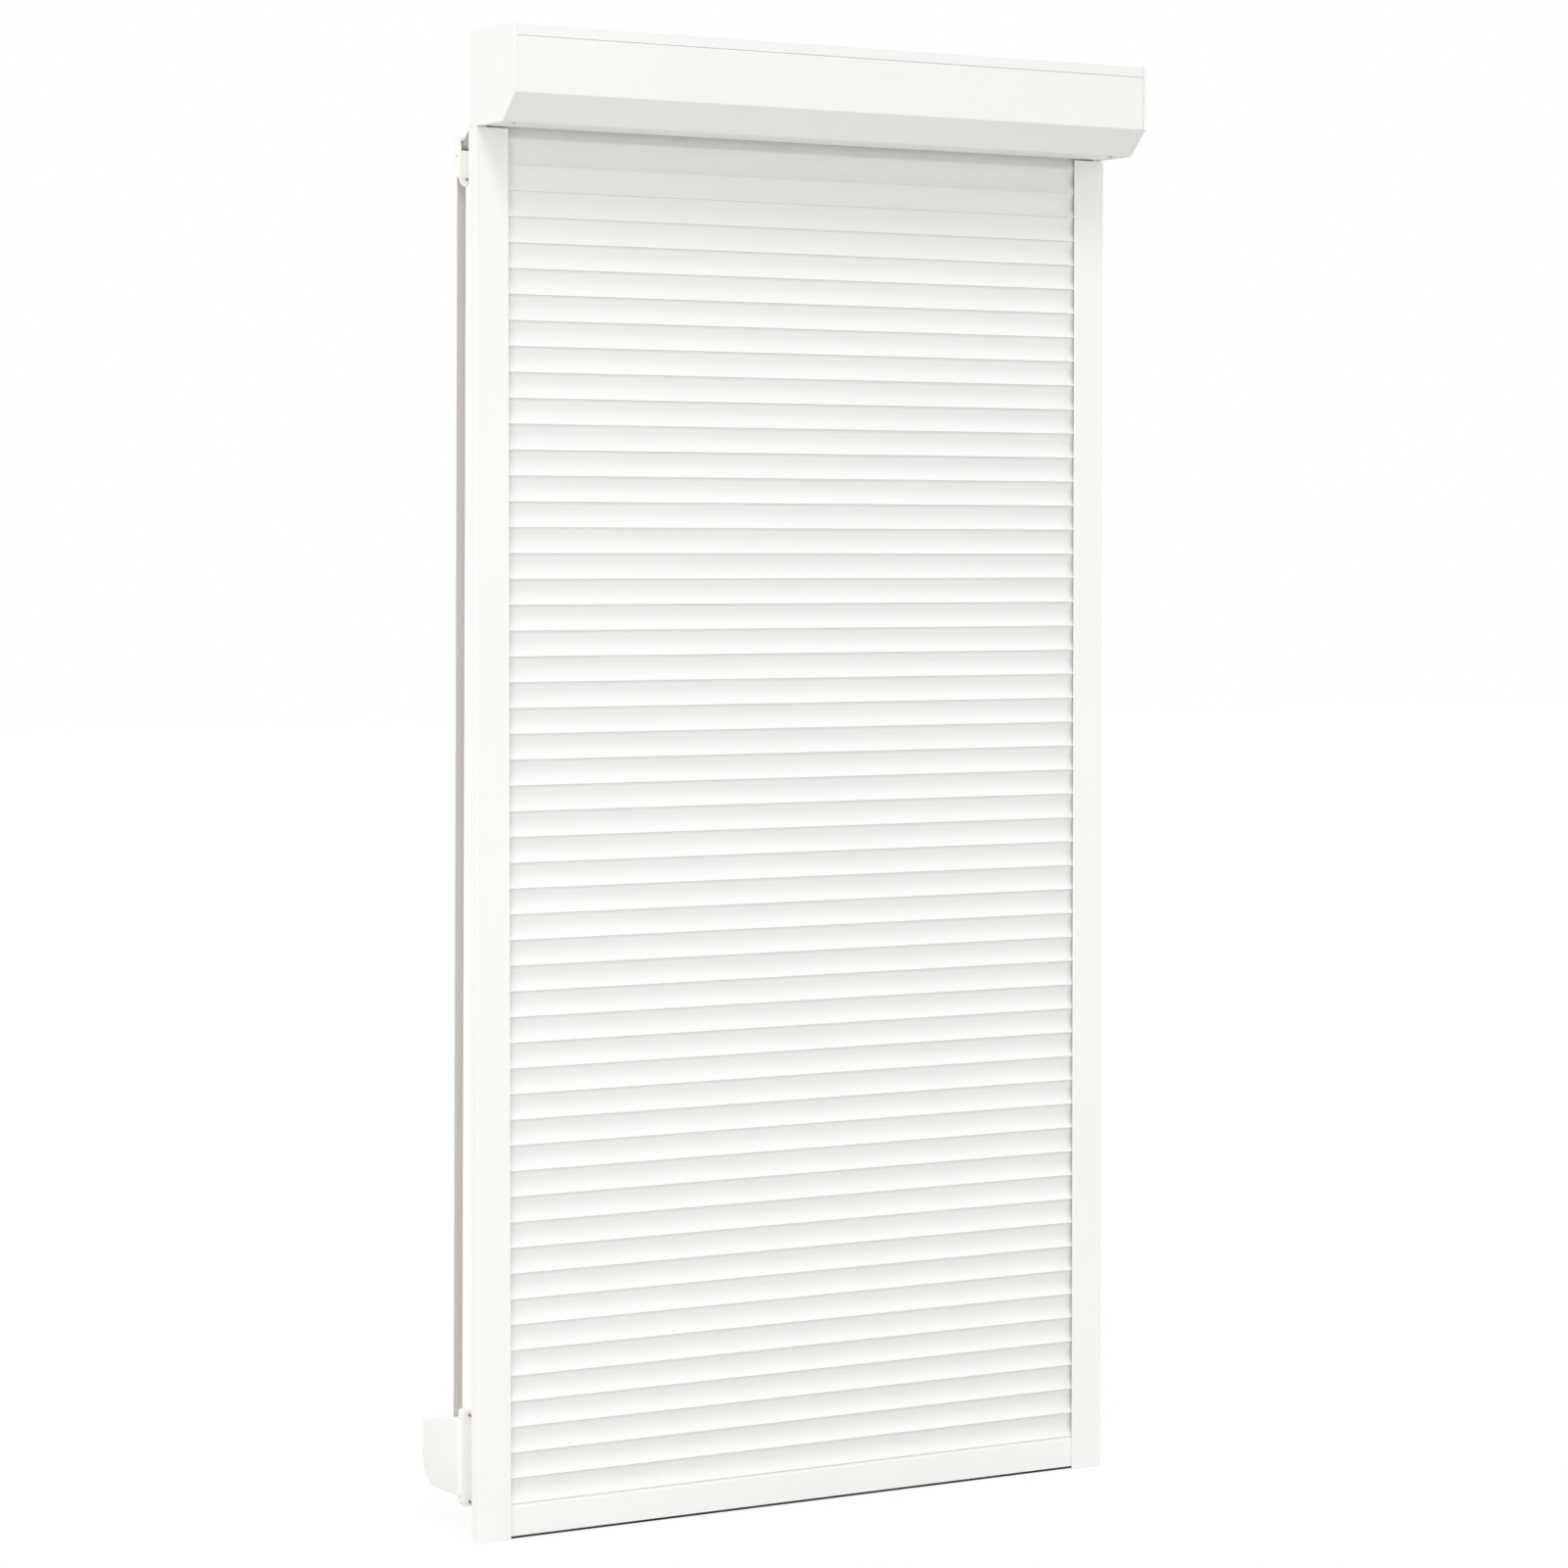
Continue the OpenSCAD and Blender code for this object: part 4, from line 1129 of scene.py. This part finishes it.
    def build(self) -> None:
        """Makes the strap and its windings."""
        ribbon = self.ribbon()
        headings = self.headings()
        values = {
            "Material": self.finishes[Slot.WEBBING],
            "Width": self.width * MM,
            "Thickness": self.thickness * MM,
        }
        lines = {
            "strap": self.route(),
            "pulley_winding": self.turns(self.axis, self.pulley_start, self.pulley_turns, headings[0], 1),
            "reel_winding": self.turns(self.reel, self.reel_start, self.reel_turns, headings[-1], -1),
        }
        made = {}
        for name, line in lines.items():
            points = [Vector((STRAP_X, y, z)) * MM for y, z in line]
            made[name] = ribbon.make(name, loose_mesh(name, points, True), values)
        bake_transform(made["strap"])
        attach(made["pulley_winding"], Body.SHAFT.value)
        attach(made["reel_winding"], Body.REEL.value)
        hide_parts("strap_run")
        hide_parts("pulley_coil")
        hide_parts("reel_coil")


@dataclass
class WinderHousing:
    """Two moulded halves round the winder's reel, in millimetres."""

    finishes: Finishes
    width: float = 24.0
    rear: float = 46.4
    front: float = 167.4
    low: float = -957.0
    high: float = WINDER_TOP
    slope: float = 17.0
    slope_start: float = 76.4
    low_radius: float = 40.0
    high_radius: float = 9.0
    wall: float = 1.8
    edge: float = 1.3
    edge_angle: float = 50.0
    edge_steps: int = 4
    seam: float = 0.02
    pivot_radius: float = 2.55
    pivot_points: int = 24
    slot_half: float = 8.5
    slot_y: Point2 = (74.4, 87.4)
    slot_low: float = -852.8
    corner_steps: int = 18
    rear_steps: int = 36
    overlap: float = 1.0
    cut_reach: float = 5.0
    merge: float = 0.001

    @property
    def pivot(self) -> Point2:
        """Plan place of the swivel's axis, which the rear is rounded about."""
        return STRAP_X, self.rear + self.width / 2

    @staticmethod
    def upright(name: str, plan: Sequence[Point2], low: float, high: float) -> Mesh:
        """Upright solid.

        Args:
            name: The mesh's name.
            plan: Outline as (x, y) in millimetres.
            low: Lower end.
            high: Upper end.

        Returns:
            The mesh, in metres.
        """
        mesh = bar_mesh(name, metres(plan), low * MM, high * MM)
        mesh.transform(Matrix(((0, 1, 0, 0), (0, 0, 1, 0), (1, 0, 0, 0), (0, 0, 0, 1))))
        return mesh

    def block(self, x: Sequence[float], y: Point2, z: Point2) -> Mesh:
        """Block between three pairs of limits."""
        plan = [(x[0], y[0]), (x[1], y[0]), (x[1], y[1]), (x[0], y[1])]
        return self.upright("block", plan, *z)

    def solid(self, inset: float) -> Mesh:
        """Whole housing as a solid.

        Args:
            inset: Distance inside the skin.

        Returns:
            The side view's outline along X, kept to the plan with its round rear.
        """
        half = self.width / 2 - inset
        low, high = self.low + inset, self.high - inset
        rear, front = self.rear + inset, self.front - inset
        side = filleted([
            (rear, low, 0.0),
            (front, low, self.low_radius - inset),
            (front, high - self.slope, self.high_radius - inset),
            (self.slope_start, high, 0.0),
            (rear, high, 0.0),
        ], self.corner_steps)
        middle, reach = STRAP_X * MM, self.width * MM
        bar = bar_mesh("side", metres(side), middle - reach, middle + reach)
        plan = arc(self.pivot, half, 180.0, 360.0, self.rear_steps)
        plan += [(STRAP_X + half, front + self.overlap), (STRAP_X - half, front + self.overlap)]
        keep = self.upright("plan", plan, low - self.overlap, high + self.overlap)
        return cut_solid("solid", bar, [(Cut.INSIDE, keep)])

    def softened(self, mesh: Mesh) -> Mesh:
        """Solid with its sharp edges rounded.

        Args:
            mesh: The solid, which is changed.

        Returns:
            The same mesh.
        """
        work = bmesh.new()
        work.from_mesh(mesh)
        bmesh.ops.remove_doubles(work, verts=work.verts, dist=self.merge * MM)
        limit = math.radians(self.edge_angle)
        sharp = [edge for edge in work.edges if edge.calc_face_angle(0.0) > limit]
        bmesh.ops.bevel(
            work, geom=sharp, offset=self.edge * MM, offset_type="OFFSET", segments=self.edge_steps,
            profile=0.5, affect="EDGES", clamp_overlap=True,
        )
        work.to_mesh(mesh)
        work.free()
        return mesh

    def build(self) -> None:
        """Makes both halves, hollow, with the strap's slot and the holes for the swivel's pins."""
        skin = self.softened(self.solid(0.0))
        heights = (self.low - self.cut_reach, self.high + self.cut_reach)
        depths = (self.rear - self.cut_reach, self.front + self.cut_reach)
        pivot = self.upright("pivot", ring(self.pivot, self.pivot_radius, self.pivot_points), *heights)
        slot_x = (STRAP_X - self.slot_half, STRAP_X + self.slot_half)
        slot = self.block(slot_x, self.slot_y, (self.slot_low, heights[1]))
        hollow = self.solid(self.wall)
        for side, name in ((-1.0, "left"), (1.0, "right")):
            split = STRAP_X + side * self.seam
            away = self.block(sorted((split, split - side * 2 * self.width)), depths, heights)
            tools = [(Cut.OUTSIDE, tool) for tool in (hollow, pivot, slot, away)]
            mesh = cut_solid("housing_" + name, skin, tools)
            mesh.materials.clear()
            mesh.materials.append(self.finishes[Slot.CAP_WHITE])
            piece = add_object("winder_housing_" + name, smoothed(mesh))
            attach(piece, Body.WINDER.value)
            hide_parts("winder_shell_" + name)
            LOG.info("%s: %d faces", piece.name, len(mesh.polygons))


@dataclass(frozen=True)
class Screw:
    """Sizes of one kind of screw in millimetres, and how it is turned from a point along +Z."""

    slot: Slot
    head_radius: float
    head_height: float
    core_radius: float
    crest_radius: float
    length: float
    tip: float
    threads: float
    turn: Point3


@dataclass
class Fasteners:
    """Threaded screws with crossed recesses: places in millimetres, and shares of a screw's own sizes."""

    finishes: Finishes
    sizes: tuple[str, ...] = ("head_radius", "head_height", "core_radius", "crest_radius", "length", "tip")
    wood: Screw = Screw(
        Slot.BRASS, head_radius=3.25, head_height=2.4, core_radius=1.4, crest_radius=2.0, length=25.0,
        tip=5.0, threads=11.0, turn=(math.pi / 2, 0.0, 0.0),
    )
    cover: Screw = Screw(
        Slot.ZINC_STEEL, head_radius=3.4, head_height=1.9, core_radius=1.35, crest_radius=1.75, length=9.0,
        tip=2.0, threads=5.0, turn=(0.0, 0.0, 0.0),
    )
    guide_y: float = 42.5
    guide_z: float = 943.3
    winder_y: float = 43.0
    winder_z: Point2 = (-838.0, -964.0)
    cover_x: Point2 = (-515.5, 515.5)
    cover_y: float = -83.0
    cover_z: float = 1015.1
    core_sides: int = 24
    head_sides: int = 32
    thread_steps: int = 14
    ridge_sides: int = 3
    root_share: float = 0.4
    tip_overlap: float = 0.02
    point_share: float = 0.05
    head_taper: float = 0.82
    arm_long: float = 1.1
    arm_wide: float = 0.26
    arm_depths: Point2 = (1.0, 0.96)

    def screw(self) -> Shape:
        """Tree that sets a screw at each point, with its point along its own +Z before it is turned.

        Returns:
            The tree, with the sizes that a screw has.
        """
        shape = Shape("screw")
        head_r, head_h, core, crest, length, tip = (shape.input(size, Kind.NUMBER) for size in self.sizes)
        threads = shape.input("threads", Kind.NUMBER)
        turn = shape.input("turn", Kind.VECTOR)
        along = length - tip

        def moved(kind: str, inputs: Mapping[str, Feed], height: Value) -> Value:
            """Mesh made by a node and moved along Z.

            Args:
                kind: The node's type.
                inputs: Its sockets.
                height: How far the mesh moves.

            Returns:
                The mesh.
            """
            offset = shape.add("ShaderNodeCombineXYZ", {}, {"Z": height})["Vector"]
            place = {"Geometry": shape.add(kind, {}, inputs)["Mesh"], "Translation": offset}
            return shape.add("GeometryNodeTransform", {}, place)["Geometry"]

        inputs = {"Vertices": self.core_sides, "Radius": core, "Depth": along + head_h * self.root_share}
        middle = along * 0.5 - head_h * (self.root_share / 2)
        shank = moved("GeometryNodeMeshCylinder", inputs, middle)
        inputs = {
            "Vertices": self.core_sides, "Radius Top": core * self.point_share, "Radius Bottom": core,
            "Depth": tip,
        }
        point = moved("GeometryNodeMeshCone", inputs, along - tip * self.tip_overlap)
        inputs = {
            "Resolution": self.thread_steps, "Rotations": threads, "Height": along,
            "Start Radius": core, "End Radius": core,
        }
        helix = shape.add("GeometryNodeCurveSpiral", {}, inputs)["Curve"]
        inputs = {"Resolution": self.ridge_sides, "Radius": crest - core}
        ridge = shape.add("GeometryNodeCurvePrimitiveCircle", {}, inputs)["Curve"]
        inputs = {"Curve": helix, "Profile Curve": ridge, "Fill Caps": True}
        thread = shape.add("GeometryNodeCurveToMesh", {}, inputs)["Mesh"]
        inputs = {
            "Vertices": self.head_sides, "Radius Bottom": head_r * self.head_taper, "Radius Top": head_r,
            "Depth": head_h,
        }
        top = head_h * -1.0
        head = moved("GeometryNodeMeshCone", inputs, top)
        arms = ((self.arm_long, self.arm_wide), (self.arm_wide, self.arm_long))
        for (x, y), deep in zip(arms, self.arm_depths):
            inputs = {"X": head_r * x, "Y": head_r * y, "Z": head_h * deep}
            size = shape.add("ShaderNodeCombineXYZ", {}, inputs)["Vector"]
            inputs = {"Mesh 1": head, "Mesh 2": moved("GeometryNodeMeshCube", {"Size": size}, top)}
            head = shape.add("GeometryNodeMeshBoolean", {"operation": "DIFFERENCE"}, inputs)["Mesh"]
        inputs = {"Geometry": [shank, point, thread, head]}
        whole = shape.add("GeometryNodeJoinGeometry", {}, inputs)["Geometry"]
        inputs = {"Geometry": whole, "Rotation": turn}
        whole = shape.add("GeometryNodeTransform", {}, inputs)["Geometry"]
        inputs = {"Points": shape.given("Geometry"), "Instance": whole}
        shape.end(shape.add("GeometryNodeInstanceOnPoints", {}, inputs)["Instances"])
        return shape

    def build(self) -> None:
        """Makes the brass wood screws and the two screws under the box."""
        shape = self.screw()
        sets = (
            ("guide_screw", self.wood, [(STRAP_X, self.guide_y, self.guide_z)]),
            ("winder_screws", self.wood, [(STRAP_X, self.winder_y, z) for z in self.winder_z]),
            ("cover_screws", self.cover, [(x, self.cover_y, self.cover_z) for x in self.cover_x]),
        )
        for node, screw, places in sets:
            name = node + "_threaded"
            points = [Vector(place) * MM for place in places]
            values = {size: getattr(screw, size) * MM for size in self.sizes}
            values |= {"threads": screw.threads, "turn": screw.turn, "Material": self.finishes[screw.slot]}
            piece = shape.make(name, loose_mesh(name, points, False), values)
            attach(piece, Body.FRAME.value)
            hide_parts(node)


# Studio


@dataclass
class Studio:
    """Camera at the photograph's place, soft light and a white floor, in metres."""

    eye: Point3 = (-3.529, -5.764, 0.394)
    yaw: float = 31.34
    pitch: float = 1.902
    focal_px: float = 4624.5
    axis_px: float = 728.0
    image_px: float = 1600.0
    sensor_mm: float = 36.0
    view_reach: float = 100.0
    ambient: float = 0.965
    key_power: float = 0.77
    key_angle: float = 18.0
    key_from: Point3 = (-3.0, -5.0, 7.1)
    key_to: Point3 = (0.0, 0.0, 0.0)
    side_power: float = 29.0
    side_size: Point2 = (2.0, 3.0)
    side_from: Point3 = (-3.7, -1.9, 0.0)
    side_to: Point3 = (-0.3, 0.0, 0.0)
    floor_z: float = CAD_BOX[0][2]
    floor_reach: float = 30.0
    floor_colour: Colour = (0.6, 0.6, 0.59)
    floor_glow: float = 1.09
    floor_glow_share: float = 0.8

    def camera(self) -> None:
        """Sets the camera."""
        data = bpy.data.cameras.new("camera")
        data.sensor_width = self.sensor_mm
        data.lens = self.focal_px / self.image_px * self.sensor_mm
        data.shift_y = (self.axis_px - self.image_px / 2) / self.image_px
        data.clip_end = self.view_reach
        camera = add_object("camera", data)
        camera.location = self.eye
        camera.rotation_euler = (math.radians(90.0 - self.pitch), 0.0, -math.radians(self.yaw))
        bpy.context.scene.camera = camera

    def sky(self) -> None:
        """Sets the world, which lights a little less than the white that is seen."""
        world = bpy.data.worlds.new("studio")
        world.use_nodes = True
        world.node_tree.nodes.clear()
        bpy.context.scene.world = world
        graph = Graph(world.node_tree)
        rays = graph.add("ShaderNodeLightPath", {}, {})
        seen = rays["Is Camera Ray"].either(rays["Is Glossy Ray"]).either(rays["Is Transmission Ray"])
        strength = seen * (1.0 - self.ambient) + self.ambient
        sky = graph.add("ShaderNodeBackground", {}, {"Color": WHITE, "Strength": strength})
        graph.add("ShaderNodeOutputWorld", {}, {"Surface": sky["Background"]})

    def lights(self) -> None:
        """Sets a broad key light from above in front and a weaker one from the left."""
        key = bpy.data.lights.new("key", "SUN")
        key.energy = self.key_power
        key.angle = math.radians(self.key_angle)
        self.aim(key, Vector(self.key_from), Vector(self.key_to))
        side = bpy.data.lights.new("side", "AREA")
        side.shape = "RECTANGLE"
        side.size, side.size_y = self.side_size
        side.energy = self.side_power
        self.aim(side, Vector(self.side_from), Vector(self.side_to))

    @staticmethod
    def aim(data: Light, place: Vector, target: Vector) -> None:
        """Sets a light at a place and turns it to a target.

        Args:
            data: The light.
            place: Where it stands.
            target: What it points at.
        """
        lamp = add_object(data.name, data)
        lamp.location = place
        lamp.rotation_euler = (place - target).to_track_quat("Z", "Y").to_euler()

    def floor(self) -> None:
        """Sets a floor that shows white and takes a soft shadow."""
        surface = Surface("floor_white")
        rays = surface.add("ShaderNodeLightPath", {}, {})
        diffuse = surface.add("ShaderNodeBsdfDiffuse", {}, {"Color": (*self.floor_colour, 1.0)})["BSDF"]
        inputs = {"Color": WHITE, "Strength": self.floor_glow}
        glow = surface.add("ShaderNodeEmission", {}, inputs)["Emission"]
        inputs = {0: rays["Is Camera Ray"] * self.floor_glow_share, 1: diffuse, 2: glow}
        material = surface.end(surface.add("ShaderNodeMixShader", {}, inputs)["Shader"])
        reach = self.floor_reach
        corners = [(x * reach, y * reach, self.floor_z) for x, y in ((-1, -1), (1, -1), (1, 1), (-1, 1))]
        mesh = bpy.data.meshes.new("floor")
        mesh.from_pydata(corners, [], [(0, 1, 2, 3)])
        mesh.materials.append(material)
        floor = add_object("floor", mesh)

    def build(self) -> None:
        """Sets up the whole studio."""
        bpy.context.scene.view_settings.view_transform = "Standard"
        self.camera()
        self.sky()
        self.lights()
        self.floor()


def main() -> None:
    """Builds the studio and every sub-assembly."""
    logging.basicConfig(level=logging.INFO, format="%(name)s: %(message)s")
    Studio().build()
    finishes = Finishes()
    Casing(finishes).dress()
    Curtain(finishes).build()
    StrapDrive(finishes).build()
    WinderHousing(finishes).build()
    Fasteners(finishes).build()


if __name__ == "__main__":
    main()
